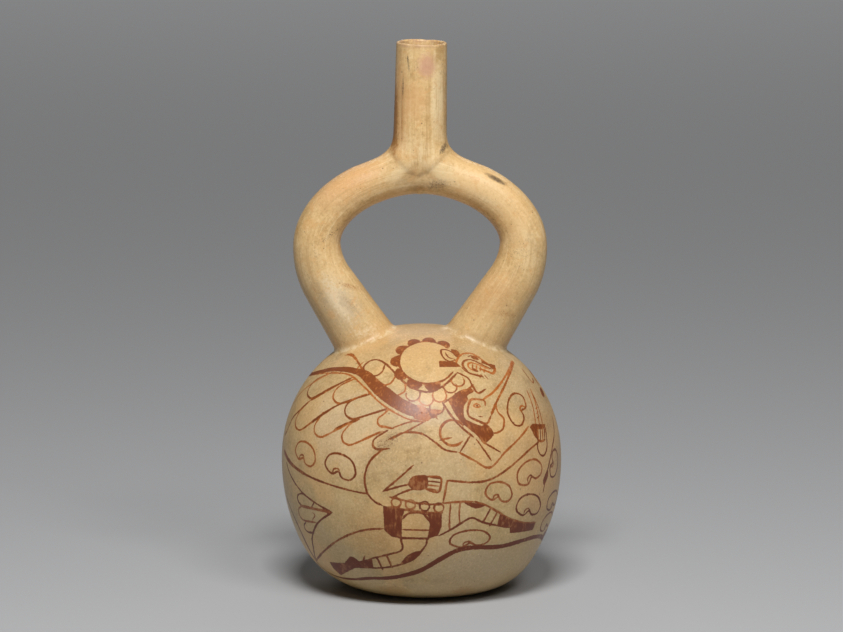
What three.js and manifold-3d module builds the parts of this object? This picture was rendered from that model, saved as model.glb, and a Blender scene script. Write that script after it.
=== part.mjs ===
// A stirrup spout vessel: a round hollow bottle of fired clay whose only way in and out is a
// narrow spout, carried by a hollow arch that springs from the two shoulders of the body.
// It is one fired piece with walls of true thickness, so it is one closed solid.
// Millimetres, +Z up. X runs along the arch, and the origin is under the middle of the body,
// on the surface that the vessel stands on. The face with the first figure looks along -Y.

import * as THREE from "three";
import { mergeVertices } from "three/addons/utils/BufferGeometryUtils.js";
import Module from "manifold-3d";

// The body: a ball a little flattened above, drawn in to a small standing flat below.
const BODY_RADIUS = 72;
const BODY_EQUATOR = 67.1; // height of the widest line
const CROWN_RISE = 69.1; // from the widest line up to the crown
const CROWN_SQUARENESS = 2.08; // 2 is an ellipse, and more is boxier
const BELLY_DEPTH = 82.9; // the lower curve would close this far below the widest line
const BELLY_SQUARENESS = 2.05;
const BASE_ROUNDING = 37.5; // radius of the soft turn from the wall into the standing flat
const BASE_DRIFT = 3; // the flat sits this far to +X, as the potter's hand left it
const BASE_DRIFT_HEIGHT = 26; // the drift has died out this far up
const BODY_WALL = 5;
const FLOOR_WALL = 6;

// The arch: one hollow tube that rises from both shoulders and meets under the spout.
const ARCH_TOP = 215.5; // the height of its centre line under the spout
const ARCH_WIDE_HEIGHT = 178.8; // where the two arms stand furthest apart
const ARCH_HALF_SPAN = 52.9; // from the middle to an arm's centre line there
const ARCH_SQUARENESS = 1.9;
const ARCH_SHIFT = -0.7; // the whole arch stands a hair to the left
const ARM_BEND = 38.7; // radius of the bend that turns each arm back in
const ARM_LEAN = THREE.MathUtils.degToRad(32.5); // lean of each arm's straight foot
const ARM_FOOT = 46; // length of that straight foot, down into the body
const ARCH_WALL = 3.3;
const ARM_TUNNEL_FOOT = 47; // the tunnel runs a little further than the tube around it

// The tube's outer radius at distances along the centre line, from under the spout to its foot.
const TUBE_RADII = [
  [0, 10.65],
  [25, 10.9],
  [52, 11.4],
  [71, 12.1],
  [93, 13.7],
  [107, 14.6],
  [116, 15.1],
  [122, 15.8],
  [128, 17],
  [139, 18],
];

// The spout: a straight neck with a thin rounded lip. Its foot spreads over the arch and is
// pinched to a wedge on the front and the back.
const RIM_HEIGHT = 282.9;
const RIM_TILT = THREE.MathUtils.degToRad(1.2); // the rim is lower on the right
const RIM_TILT_REACH = 30; // the tilt has died out this far below the rim
const LIP_ROUND = 1.2;
const LIP_INSET = 0.2; // the lip starts this much inside the neck
const SPOUT_LEAN_FOOT = -0.8; // the neck's middle line, in X, at its foot
const SPOUT_LEAN_TOP = 0.1;
const SPOUT_FOOT = 205;
const BORE_MOUTH = 11.1; // radius of the bore where it opens at the rim
const BORE_TOP = 10.3; // radius of the bore just under the lip
const BORE_NECK = 10; // and a little further down
const BORE_NECK_DEPTH = 12;
const BORE_FOOT = 8.6;
const BORE_FOOT_HEIGHT = 228;
const BORE_END_HEIGHT = 214;
const BORE_END = 6.6;

// Height, half width along X and half width along Y of the spout's outside. Below the arch's
// top it narrows to the wedge.
const SPOUT_SECTIONS = [
  [SPOUT_FOOT, 2, 5],
  [210, 5.5, 8.8],
  [216, 9, 10.9],
  [221, 11.6, 11.8],
  [226, 13, 12.5],
  [234, 13.6, 13],
  [242, 13.6, 13.3],
  [255, 13.3, 13.3],
  [268, 13.2, 13.2],
  [279, 13, 13],
];

// Each shoulder is a short bent tube that carries the neck's side over into the arm.
const SHOULDER_TOP = 240; // height where it leaves the neck
const SHOULDER_TURN = 218; // height that its bend is drawn towards
const SHOULDER_REACH = 22; // how far out it ends in the arm
const SHOULDER_END = 211.7; // the arm's centre line at that place
const SHOULDER_RADIUS_TOP = 13.6;
const SHOULDER_RADIUS_END = 10.8;

// How finely the round shapes are cut.
const BODY_SIDES = 56;
const BODY_RINGS = 11; // rings in each half
const ARCH_SIDES = 22;
const ARCH_RINGS = 42;
const SPOUT_SIDES = 32;
const SHOULDER_RINGS = 7;
const LIP_RINGS = 3;
const HOLLOW_SHARE = 0.68; // hidden hollows are cut with this share of the outside's fineness

const wasm = await Module();
wasm.setup();

// The colour of the burnished cream slip that covers the vessel.
const creamSlip = new THREE.MeshStandardMaterial({
  color: 0xd2b483,
  roughness: 0.5,
  metalness: 0,
});

function solidFrom(geometry) {
  const bare = geometry.clone();
  bare.deleteAttribute("normal");
  bare.deleteAttribute("uv");
  const merged = mergeVertices(bare, 1e-4);
  const mesh = new wasm.Mesh({
    numProp: 3,
    vertProperties: merged.attributes.position.array,
    triVerts: new Uint32Array(merged.index.array),
  });
  return new wasm.Manifold(mesh);
}

function geometryFrom(solid) {
  const mesh = solid.getMesh();
  const geometry = new THREE.BufferGeometry();
  geometry.setAttribute("position", new THREE.BufferAttribute(mesh.vertProperties, 3));
  geometry.setIndex(new THREE.BufferAttribute(mesh.triVerts, 1));
  geometry.computeVertexNormals();
  return geometry;
}

// The value at place in a table of rows that start with their place, eased between the rows.
function along(rows, place) {
  const last = rows.length - 1;
  if (place <= rows[0][0]) return rows[0][1];
  if (place >= rows[last][0]) return rows[last][1];
  const after = rows.findIndex((row) => row[0] > place);
  const slope = (i) => {
    const low = rows[Math.max(i - 1, 0)];
    const high = rows[Math.min(i + 1, last)];
    return (high[1] - low[1]) / (high[0] - low[0]);
  };
  const [from, to] = [rows[after - 1], rows[after]];
  const gap = to[0] - from[0];
  const t = (place - from[0]) / gap;
  const [t2, t3] = [t * t, t * t * t];
  return (
    (2 * t3 - 3 * t2 + 1) * from[1] +
    (t3 - 2 * t2 + t) * gap * slope(after - 1) +
    (3 * t2 - 2 * t3) * to[1] +
    (t3 - t2) * gap * slope(after)
  );
}

// The lower curve meets the standing flat through an arc that touches both. The arc's centre
// lies on the line that is BASE_ROUNDING inside the curve, at the arc's own height.
function bellyPoint(angle) {
  const r = BODY_RADIUS * Math.cos(angle) ** (2 / BELLY_SQUARENESS);
  const z = BODY_EQUATOR - BELLY_DEPTH * Math.sin(angle) ** (2 / BELLY_SQUARENESS);
  return new THREE.Vector2(r, z);
}

function bellyNormal(angle) {
  const step = 1e-4;
  const run = bellyPoint(angle + step).sub(bellyPoint(angle - step));
  return new THREE.Vector2(-run.y, run.x).normalize();
}

function bellyEnd() {
  let low = 0.2;
  let high = 1.3;
  for (let i = 0; i < 50; i++) {
    const mid = (low + high) / 2;
    const centre = bellyPoint(mid).addScaledVector(bellyNormal(mid), -BASE_ROUNDING);
    if (centre.y > BASE_ROUNDING) low = mid;
    else high = mid;
  }
  return low;
}

// The outline of the body's outside, from the middle of the flat up to the crown.
function bodyOutline() {
  const end = bellyEnd();
  const touch = bellyNormal(end);
  const centre = bellyPoint(end).addScaledVector(touch, -BASE_ROUNDING);
  const points = [new THREE.Vector2(0, 0), new THREE.Vector2(centre.x, 0)];
  const turn = Math.atan2(touch.x, -touch.y);
  const arcRings = 5;
  for (let i = 1; i < arcRings; i++) {
    const angle = (turn * i) / arcRings;
    points.push(
      new THREE.Vector2(
        centre.x + BASE_ROUNDING * Math.sin(angle),
        centre.y - BASE_ROUNDING * Math.cos(angle),
      ),
    );
  }
  const bellyRings = Math.round(BODY_RINGS * 0.6);
  for (let i = bellyRings; i > 0; i--) points.push(bellyPoint((end * i) / bellyRings));
  for (let i = 0; i < BODY_RINGS; i++) {
    const angle = ((Math.PI / 2) * i) / BODY_RINGS;
    const r = BODY_RADIUS * Math.cos(angle) ** (2 / CROWN_SQUARENESS);
    const z = BODY_EQUATOR + CROWN_RISE * Math.sin(angle) ** (2 / CROWN_SQUARENESS);
    points.push(new THREE.Vector2(r, z));
  }
  points.push(new THREE.Vector2(0, BODY_EQUATOR + CROWN_RISE));
  return points;
}

// The outline of the hollow: the outside moved in by the wall, with a thicker floor.
function hollowOutline(outside) {
  const inside = outside.slice(1, -1).map((point, i) => {
    const run = outside[i + 2].clone().sub(outside[i]);
    const outward = new THREE.Vector2(run.y, -run.x).normalize();
    const wall = outward.y < -0.7 ? FLOOR_WALL : BODY_WALL;
    return point.clone().addScaledVector(outward, -wall);
  });
  const kept = inside.filter((point) => point.x > 1 && point.y >= FLOOR_WALL);
  return [
    new THREE.Vector2(0, FLOOR_WALL),
    ...kept,
    new THREE.Vector2(0, BODY_EQUATOR + CROWN_RISE - BODY_WALL),
  ];
}

// A turned shape stood upright, with its foot drifting to +X as the real base does.
function turned(outline, sides) {
  const geometry = new THREE.LatheGeometry(outline, sides);
  geometry.rotateX(Math.PI / 2);
  const place = geometry.attributes.position;
  for (let i = 0; i < place.count; i++) {
    const share = Math.max(0, 1 - place.getZ(i) / BASE_DRIFT_HEIGHT);
    place.setX(i, place.getX(i) + BASE_DRIFT * share * share);
  }
  return geometry;
}

// The arch's centre line. t runs from 0 at the foot of the left arm to 1 at the right arm's
// foot, by true distance. Each side is a quarter of a soft oval, a bend and a straight foot.
class ArchLine extends THREE.Curve {
  constructor(foot) {
    super();
    this.side = [];
    const ovalSteps = 60;
    for (let i = 0; i <= ovalSteps; i++) {
      const angle = ((Math.PI / 2) * i) / ovalSteps;
      this.side.push(
        new THREE.Vector2(
          ARCH_HALF_SPAN * Math.sin(angle) ** (2 / ARCH_SQUARENESS),
          ARCH_WIDE_HEIGHT +
            (ARCH_TOP - ARCH_WIDE_HEIGHT) * Math.cos(angle) ** (2 / ARCH_SQUARENESS),
        ),
      );
    }
    const bendSteps = 12;
    for (let i = 1; i <= bendSteps; i++) {
      const angle = (ARM_LEAN * i) / bendSteps;
      this.side.push(
        new THREE.Vector2(
          ARCH_HALF_SPAN - ARM_BEND * (1 - Math.cos(angle)),
          ARCH_WIDE_HEIGHT - ARM_BEND * Math.sin(angle),
        ),
      );
    }
    const last = this.side[this.side.length - 1];
    this.side.push(
      new THREE.Vector2(
        last.x - foot * Math.sin(ARM_LEAN),
        last.y - foot * Math.cos(ARM_LEAN),
      ),
    );
    this.reach = [0];
    for (let i = 1; i < this.side.length; i++)
      this.reach.push(this.reach[i - 1] + this.side[i].distanceTo(this.side[i - 1]));
    this.half = this.reach[this.reach.length - 1];
  }

  getPoint(t, target = new THREE.Vector3()) {
    const signed = (2 * t - 1) * this.half;
    const far = Math.min(Math.abs(signed), this.half);
    let i = 1;
    while (i < this.reach.length - 1 && this.reach[i] < far) i++;
    const share = (far - this.reach[i - 1]) / (this.reach[i] - this.reach[i - 1]);
    const spot = this.side[i - 1].clone().lerp(this.side[i], share);
    return target.set(Math.sign(signed) * spot.x + ARCH_SHIFT, 0, spot.y);
  }
}

// A round tube along a line in the XZ plane: a cylinder whose rings are moved onto the line.
function bentTube(line, radiusAt, sides, rings) {
  const geometry = new THREE.CylinderGeometry(1, 1, 1, sides, rings);
  const place = geometry.attributes.position;
  const tilt = 1e-3;
  for (let i = 0; i < place.count; i++) {
    const t = place.getY(i) + 0.5;
    const middle = line.getPoint(t);
    const run = line
      .getPoint(Math.min(t + tilt, 1))
      .sub(line.getPoint(Math.max(t - tilt, 0)))
      .normalize();
    const across = new THREE.Vector3(-run.z, 0, run.x);
    middle.addScaledVector(across, radiusAt(t) * place.getX(i));
    middle.y += radiusAt(t) * place.getZ(i);
    place.setXYZ(i, middle.x, middle.y, middle.z);
  }
  return geometry;
}

function archTube(foot, shrink, sides, rings) {
  const line = new ArchLine(foot);
  const radiusAt = (t) => along(TUBE_RADII, Math.abs(2 * t - 1) * line.half) - shrink;
  return bentTube(line, radiusAt, sides, rings);
}

// side is 1 for the right shoulder and -1 for the left one.
function shoulder(side) {
  const top = spoutMiddle(SHOULDER_TOP);
  const line = new THREE.QuadraticBezierCurve3(
    new THREE.Vector3(top, 0, SHOULDER_TOP),
    new THREE.Vector3(top, 0, SHOULDER_TURN),
    new THREE.Vector3(side * SHOULDER_REACH + ARCH_SHIFT, 0, SHOULDER_END),
  );
  const radiusAt = (t) => THREE.MathUtils.lerp(SHOULDER_RADIUS_TOP, SHOULDER_RADIUS_END, t);
  return bentTube(line, radiusAt, ARCH_SIDES, SHOULDER_RINGS);
}

function spoutMiddle(z) {
  const share = THREE.MathUtils.clamp((z - BORE_FOOT_HEIGHT) / (RIM_HEIGHT - BORE_FOOT_HEIGHT), 0, 1);
  return THREE.MathUtils.lerp(SPOUT_LEAN_FOOT, SPOUT_LEAN_TOP, share);
}

// An upright tube of oval rings, each given by its height and its two half widths.
function ovalStack(sections, sides) {
  const rings = sections.length - 1;
  const geometry = new THREE.CylinderGeometry(1, 1, rings, sides, rings);
  geometry.rotateX(Math.PI / 2);
  const place = geometry.attributes.position;
  for (let i = 0; i < place.count; i++) {
    const [height, halfX, halfY] = sections[Math.round(place.getZ(i) + rings / 2)];
    const x = place.getX(i) * halfX;
    const tilted = THREE.MathUtils.clamp((height - RIM_HEIGHT) / RIM_TILT_REACH + 1, 0, 1);
    const drop = x * Math.tan(RIM_TILT) * tilted;
    place.setXYZ(i, spoutMiddle(height) + x, place.getY(i) * halfY, height - drop);
  }
  return geometry;
}

function spoutOutside() {
  const sections = SPOUT_SECTIONS.slice();
  const topHalf = SPOUT_SECTIONS[SPOUT_SECTIONS.length - 1][1] - LIP_INSET;
  for (let i = 0; i <= LIP_RINGS; i++) {
    const angle = ((Math.PI / 2) * i) / LIP_RINGS;
    const half = topHalf - LIP_ROUND * (1 - Math.cos(angle));
    const height = RIM_HEIGHT - LIP_ROUND * (1 - Math.sin(angle));
    sections.push([height, half, half]);
  }
  return ovalStack(sections, SPOUT_SIDES);
}

function spoutBore() {
  const past = 6; // the cutting tool stands this far past the rim
  return ovalStack(
    [
      [BORE_END_HEIGHT, BORE_END, BORE_END],
      [BORE_FOOT_HEIGHT, BORE_FOOT, BORE_FOOT],
      [RIM_HEIGHT - BORE_NECK_DEPTH, BORE_NECK, BORE_NECK],
      [RIM_HEIGHT - LIP_ROUND, BORE_TOP, BORE_TOP],
      [RIM_HEIGHT, BORE_MOUTH, BORE_MOUTH],
      [RIM_HEIGHT + past, BORE_MOUTH, BORE_MOUTH],
    ],
    Math.round(SPOUT_SIDES * HOLLOW_SHARE),
  );
}

// The clay, then the one connected hollow inside it.
function vesselGeometry() {
  const outline = bodyOutline();
  const clay = solidFrom(turned(outline, BODY_SIDES))
    .add(solidFrom(archTube(ARM_FOOT, 0, ARCH_SIDES, ARCH_RINGS)))
    .add(solidFrom(shoulder(1)))
    .add(solidFrom(shoulder(-1)))
    .add(solidFrom(spoutOutside()));
  const hollowSides = Math.round(BODY_SIDES * HOLLOW_SHARE);
  const tunnelSides = Math.round(ARCH_SIDES * HOLLOW_SHARE);
  const tunnelRings = Math.round(ARCH_RINGS * HOLLOW_SHARE);
  const hollow = solidFrom(turned(hollowOutline(outline), hollowSides))
    .add(solidFrom(archTube(ARM_TUNNEL_FOOT, ARCH_WALL, tunnelSides, tunnelRings)))
    .add(solidFrom(spoutBore()));
  return geometryFrom(clay.subtract(hollow));
}

const vessel = new THREE.Mesh(vesselGeometry(), creamSlip);
vessel.name = "vessel";

const stirrupSpoutVessel = new THREE.Group();
stirrupSpoutVessel.add(vessel);

export default stirrupSpoutVessel;
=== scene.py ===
# %% [markdown]
# # A stirrup spout vessel
# The real vessel is one piece of fired clay: a hollow ball, a hollow arch and a thin spout, covered in
# a cream slip that was rubbed to a soft shine and then painted with red-brown clay water.
# This lesson builds that clay skin as one closed mesh, paints it in the material, and lights it.
# Everything is measured in millimetres first, because that is how a potter's drawing is sized,
# and turned into Blender's metres at the very end.

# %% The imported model, which this look is built around
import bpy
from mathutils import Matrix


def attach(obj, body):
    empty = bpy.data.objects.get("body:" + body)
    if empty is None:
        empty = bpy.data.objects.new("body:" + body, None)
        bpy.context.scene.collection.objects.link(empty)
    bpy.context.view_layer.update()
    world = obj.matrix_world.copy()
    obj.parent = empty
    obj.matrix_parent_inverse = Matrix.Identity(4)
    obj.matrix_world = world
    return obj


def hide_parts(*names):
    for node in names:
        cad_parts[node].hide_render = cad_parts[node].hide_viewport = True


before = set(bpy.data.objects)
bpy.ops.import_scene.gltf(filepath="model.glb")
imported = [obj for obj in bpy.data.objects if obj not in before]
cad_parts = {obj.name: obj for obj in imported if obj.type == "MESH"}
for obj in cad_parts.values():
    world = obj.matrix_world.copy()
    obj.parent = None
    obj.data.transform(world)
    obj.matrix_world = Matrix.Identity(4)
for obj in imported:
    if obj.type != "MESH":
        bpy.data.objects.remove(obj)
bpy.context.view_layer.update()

# %% What the lesson needs from Python and Blender
import math

import bpy
import numpy as np
from mathutils import Vector
from mathutils.geometry import delaunay_2d_cdt

MM = 0.001
rng = np.random.default_rng(7)
print("Blender", bpy.app.version_string, "and numpy", np.__version__)

# %% [markdown]
# ## The camera
# The photograph was taken from about three metres with a long lens, a little above the vessel.
# A camera could be fitted by eye, but a long lens flattens a round body in a way that shows, so the
# height and distance here come from the roundness of the rim and of the base line.

# %% The camera
PHOTO_WIDTH = 843
SENSOR = 36.0
CAMERA_DISTANCE = 3000.0
CAMERA_RISE = math.radians(9.5)
PIXELS_PER_MM = 1.9474
LOOK_AT = 141.3

camera = bpy.data.objects.new("camera", bpy.data.cameras.new("camera"))
bpy.context.scene.collection.objects.link(camera)
camera.data.sensor_width = SENSOR
camera.data.lens = SENSOR * PIXELS_PER_MM * CAMERA_DISTANCE / PHOTO_WIDTH
camera.location = Vector((
    0.0,
    -CAMERA_DISTANCE * math.cos(CAMERA_RISE),
    LOOK_AT + CAMERA_DISTANCE * math.sin(CAMERA_RISE),
)) * MM
camera.rotation_euler = (math.pi / 2 - CAMERA_RISE, 0.0, 0.0)
camera.data.clip_end = 20.0
bpy.context.scene.camera = camera
print("lens", round(camera.data.lens, 1), "mm, camera at", tuple(round(v, 3) for v in camera.location))

# %% [markdown]
# ## The outline of the body
# The body is turned: one outline swept round the upright axis. A lathe or a spin of a curve would
# give it, but here the outline is also needed as a ruler, to lay the painting on the clay, so it
# is worked out as points with the distance walked along them.

# %% The body's sizes and its outline
BODY_RADIUS = 72.0
BODY_EQUATOR = 67.1
CROWN_RISE = 69.1
CROWN_SQUARENESS = 2.08
BELLY_DEPTH = 82.9
BELLY_SQUARENESS = 2.05
BASE_ROUNDING = 37.5
BASE_DRIFT = 3.0
BASE_DRIFT_HEIGHT = 26.0
BODY_WALL = 5.0
FLOOR_WALL = 6.0
MIDDLE = np.array([0.0, 0.0, BODY_EQUATOR])
BELLY_END = 1.35
OUTLINE_STEP = 0.4


def walked(line):
    """The distance walked along a line of points, at each point."""
    steps = np.linalg.norm(np.diff(line, axis=0), axis=1)
    return np.r_[0.0, np.cumsum(steps)]


def evenly(line, step):
    """The same line with its points about one step apart."""
    far = walked(line)
    count = max(2, int(round(far[-1] / step)) + 1)
    places = np.linspace(0.0, far[-1], count)
    return np.stack([np.interp(places, far, line[:, i]) for i in range(line.shape[1])], 1)


def belly(angle):
    r = BODY_RADIUS * np.cos(angle) ** (2 / BELLY_SQUARENESS)
    z = BODY_EQUATOR - BELLY_DEPTH * np.sin(angle) ** (2 / BELLY_SQUARENESS)
    return np.stack([r, z], -1)


def outward(line):
    """Unit normals of an outline that is walked from the base up to the crown."""
    run = np.gradient(line, axis=0)
    run /= np.linalg.norm(run, axis=1)[:, None]
    return np.stack([run[:, 1], -run[:, 0]], 1)


def body_outline():
    """Radius and height from the middle of the standing flat up to the crown, in even steps. The
    belly is followed down until a circle of the base's rounding fits between it and the ground."""
    lower = belly(np.linspace(1e-3, BELLY_END, 3000))
    centres = lower - outward(lower[::-1])[::-1] * BASE_ROUNDING
    touch = int(np.argmax(centres[:, 1] < BASE_ROUNDING))
    centre = centres[touch]
    turn = math.acos((centre[1] - lower[touch, 1]) / BASE_ROUNDING)
    arc = np.linspace(0.0, turn, 60)
    rounding = centre + BASE_ROUNDING * np.stack([np.sin(arc), -np.cos(arc)], 1)
    rounding[:, 1] -= rounding[0, 1]
    angle = np.linspace(0.0, math.pi / 2, 400)
    upper = np.stack([
        BODY_RADIUS * np.cos(angle) ** (2 / CROWN_SQUARENESS),
        BODY_EQUATOR + CROWN_RISE * np.sin(angle) ** (2 / CROWN_SQUARENESS),
    ], 1)
    line = np.concatenate([[[0.0, 0.0]], rounding, lower[:touch][::-1], upper[1:]])
    return evenly(line, OUTLINE_STEP)


OUTSIDE = body_outline()
print("outline walked:", round(walked(OUTSIDE)[-1], 1), "mm, crown at", round(OUTSIDE[-1, 1], 1), "mm")


# %% The hollow's outline, one wall further in
AXIS_ROOM = 0.3


def hollow_outline():
    inner = OUTSIDE - outward(OUTSIDE) * BODY_WALL
    inner = inner[(inner[:, 1] > FLOOR_WALL) & (inner[:, 0] > AXIS_ROOM)]
    top = [[0.0, BODY_EQUATOR + CROWN_RISE - BODY_WALL]]
    return evenly(np.concatenate([[[0.0, FLOOR_WALL]], inner, top]), 2 * OUTLINE_STEP)


INSIDE = hollow_outline()
print("hollow is", round(INSIDE[:, 0].max() * 2, 1), "mm across")


# %% [markdown]
# ## A ruler for the round surface
# Every point of the body can be named by the direction in which it is seen from the middle of the
# ball. A Bearing holds a skin's outline in that form, and also flattens the skin into a plane in
# which small circles stay circles. Blender's Delaunay triangulation works in such a plane, so the
# skin can carry extra points exactly where the brush lines run.

# %% Directions, heights and the flattened plane of one skin
def drift(z):
    """How far the foot of the body has wandered to +X at a height."""
    return BASE_DRIFT * np.clip(1 - z / BASE_DRIFT_HEIGHT, 0, None) ** 2


class Bearing:
    """One skin of the body: where it lies in each direction, and where that is in the plane."""
    FIRST_RING = 1.0
    PLANE_START = 0.6

    def __init__(self, outline):
        self.outline = outline
        rise = outline[:, 1] - BODY_EQUATOR
        self.tilt = np.arctan2(rise, outline[:, 0])
        self.reach = np.hypot(outline[:, 0], rise)
        far = walked(outline)
        keep = outline[:, 0] >= self.PLANE_START
        r, far = outline[keep, 0], far[keep]
        grown = np.r_[0.0, np.cumsum(np.diff(far) * 2 / (r[1:] + r[:-1]))]
        self.plane_tilt = self.tilt[keep]
        self.plane_grown = grown

    def surface(self, tilt, turn):
        """The point on the skin at a tilt above the widest line and a turn round the axis."""
        reach = np.interp(tilt, self.tilt, self.reach)
        r = reach * np.cos(tilt)
        z = BODY_EQUATOR + reach * np.sin(tilt)
        return np.stack([r * np.cos(turn) + drift(z), r * np.sin(turn), z], -1)

    def bearings(self, points):
        x = points[..., 0] - drift(points[..., 2])
        y = points[..., 1]
        return np.arctan2(points[..., 2] - BODY_EQUATOR, np.hypot(x, y)), np.arctan2(y, x)

    def plane(self, tilt, turn):
        out = np.exp(np.interp(tilt, self.plane_tilt, self.plane_grown))
        return np.stack([out * np.cos(turn), out * np.sin(turn)], -1)

    def distance(self, points):
        """How far points stand off the skin, and less than nothing inside it."""
        r = np.hypot(points[:, 0] - drift(points[:, 2]), points[:, 1])
        gap, _ = to_line(np.stack([r, points[:, 2]], 1), self.outline[::4])
        tilt = np.arctan2(points[:, 2] - BODY_EQUATOR, r)
        inside = np.hypot(r, points[:, 2] - BODY_EQUATOR) < np.interp(tilt, self.tilt, self.reach)
        return np.where(inside, -gap, gap)


def to_line(points, line, radius=0.0, batch=3000):
    """Distance of points to a line of some radius, and how far along the line that is. Points are
    taken in batches, so that the memory stays small."""
    start, run = line[:-1], np.diff(line, axis=0)
    length2 = (run * run).sum(1) + 1e-12
    radii = np.broadcast_to(radius, len(line))
    far = walked(line)
    best = np.full(len(points), np.inf)
    place = np.zeros(len(points))
    for at in range(0, len(points), batch):
        p = points[at:at + batch, None, :] - start
        t = np.clip((p * run).sum(-1) / length2, 0, 1)
        gap = np.linalg.norm(p - t[..., None] * run, axis=-1) - (radii[:-1] + t * np.diff(radii))
        pick = gap.argmin(1)
        row = np.arange(len(pick))
        best[at:at + batch] = gap[row, pick]
        place[at:at + batch] = far[pick] + t[row, pick] * np.sqrt(length2[pick])
    return best, place


outer_body = Bearing(OUTSIDE)
inner_body = Bearing(INSIDE)
print("flattened plane reaches", [round(float(np.exp(b.plane_grown[-1]))) for b in (outer_body, inner_body)])

# %% [markdown]
# ## The arch and the spout
# The arch was rolled as two tubes, bent, and joined under the spout. Its centre line is a quarter
# of a soft oval on each side, then a bend, then a straight foot that leans into the body. A curve
# with a bevel would give the tube, but not its joints, so the tube is described by distances: a
# point is on the clay where its distance is nothing, and two shapes melt together where both
# distances are small.

# %% The arch's centre line and thickness
ARCH_TOP = 215.5
ARCH_WIDE_HEIGHT = 178.8
ARCH_HALF_SPAN = 52.9
ARCH_SQUARENESS = 1.9
ARCH_SHIFT = -0.7
ARM_BEND = 38.7
ARM_LEAN = math.radians(32.5)
ARM_FOOT = 60.0
ARM_STEP = 1.2
ARCH_WALL = 3.3
TUBE_PLACES = [0, 25, 52, 71, 93, 107, 116, 122, 128, 139]
TUBE_RADII = [10.65, 10.9, 11.4, 12.1, 13.7, 14.6, 15.1, 15.6, 16.2, 16.6]
TUBE_SMOOTHING = 6.0


def arm_line():
    """One side of the centre line, from under the spout to the end of its foot, as X and Z."""
    angle = np.linspace(0.0, math.pi / 2, 120)
    oval = np.stack([
        ARCH_HALF_SPAN * np.sin(angle) ** (2 / ARCH_SQUARENESS),
        ARCH_WIDE_HEIGHT + (ARCH_TOP - ARCH_WIDE_HEIGHT) * np.cos(angle) ** (2 / ARCH_SQUARENESS),
    ], 1)
    angle = np.linspace(0.0, ARM_LEAN, 40)[1:]
    bend = np.stack([
        ARCH_HALF_SPAN - ARM_BEND * (1 - np.cos(angle)),
        ARCH_WIDE_HEIGHT - ARM_BEND * np.sin(angle),
    ], 1)
    foot = bend[-1] - ARM_FOOT * np.array([math.sin(ARM_LEAN), math.cos(ARM_LEAN)])
    return evenly(np.concatenate([oval, bend, [foot]]), ARM_STEP)


ARM = arm_line()
ARM_FAR = walked(ARM)
BOTH_ARMS = np.concatenate([ARM[:0:-1] * [-1, 1], ARM])
ARCH_LINE = np.stack([BOTH_ARMS[:, 0] + ARCH_SHIFT, 0 * BOTH_ARMS[:, 0], BOTH_ARMS[:, 1]], 1)


def tube_radius(place):
    """The tube's outer radius at a distance from the middle of the arch, smoothed a little."""
    spread = np.linspace(-TUBE_SMOOTHING, TUBE_SMOOTHING, 7)
    return np.mean([np.interp(np.abs(place + s), TUBE_PLACES, TUBE_RADII) for s in spread], axis=0)


def arm_frame(place, side):
    """Centre, outward normal and run of the arm at distances from the middle. side is 1 or -1."""
    x = np.interp(place, ARM_FAR, ARM[:, 0])
    z = np.interp(place, ARM_FAR, ARM[:, 1])
    run = np.gradient(ARM, axis=0)
    run /= np.linalg.norm(run, axis=1)[:, None]
    rx = np.interp(place, ARM_FAR, run[:, 0])
    rz = np.interp(place, ARM_FAR, run[:, 1])
    nothing = np.zeros_like(x)
    centre = np.stack([side * x + ARCH_SHIFT, nothing, z], -1)
    return centre, np.stack([-side * rz, nothing, rx], -1), np.stack([side * rx, nothing, rz], -1)


def round_arm(place, side, turn, off):
    """Points off the arm's centre line: how far along it, which way round it and how far off."""
    centre, normal, _ = arm_frame(place, side)
    return centre + off[:, None] * (np.cos(turn)[:, None] * normal + np.sin(turn)[:, None] * [0, 1, 0])


print("arm's centre line:", round(ARM_FAR[-1], 1), "mm")

# %% The spout's sizes
RIM_HEIGHT = 282.9
RIM_TILT = math.radians(1.2)
RIM_TILT_REACH = 30.0
SPOUT_LEAN_FOOT = -0.8
SPOUT_LEAN_TOP = 0.1
SPOUT_LEAN_HEIGHT = 228.0
SPOUT_HEIGHTS = [205, 210, 216, 221, 226, 234, 242, 255, 268, 279, 283]
SPOUT_HALF_X = [2, 5.5, 9, 11.6, 13, 13.6, 13.6, 13.3, 13.2, 13.0, 12.9]
SPOUT_HALF_Y = [5, 8.8, 10.9, 11.8, 12.5, 13.0, 13.3, 13.3, 13.2, 13.0, 12.9]
BORE_HEIGHTS = [214, 228, 271, 280, 283]
BORE_RADII = [6.6, 8.6, 10.0, 10.4, 11.0]
SHOULDER_TOP = 240.0
SHOULDER_TURN = 218.0
SHOULDER_REACH = 22.0
SHOULDER_END = 211.7
SHOULDER_RADII = (13.6, 10.8)
SHOULDER_POINTS = 24


def spout_middle(z):
    share = np.clip((z - SPOUT_LEAN_HEIGHT) / (RIM_HEIGHT - SPOUT_LEAN_HEIGHT), 0, 1)
    return SPOUT_LEAN_FOOT + (SPOUT_LEAN_TOP - SPOUT_LEAN_FOOT) * share


def shoulder_line(side):
    """The short bent line that carries the spout's side over into an arm."""
    t = np.linspace(0, 1, SHOULDER_POINTS)[:, None]
    top = SPOUT_LEAN_FOOT
    start = np.array([top, 0, SHOULDER_TOP])
    turn = np.array([top, 0, SHOULDER_TURN])
    end = np.array([side * SHOULDER_REACH + ARCH_SHIFT, 0, SHOULDER_END])
    return (1 - t) ** 2 * start + 2 * t * (1 - t) * turn + t * t * end


print("neck is", 2 * max(SPOUT_HALF_X), "mm across, its bore", 2 * BORE_RADII[-1], "mm at the lip")

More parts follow.
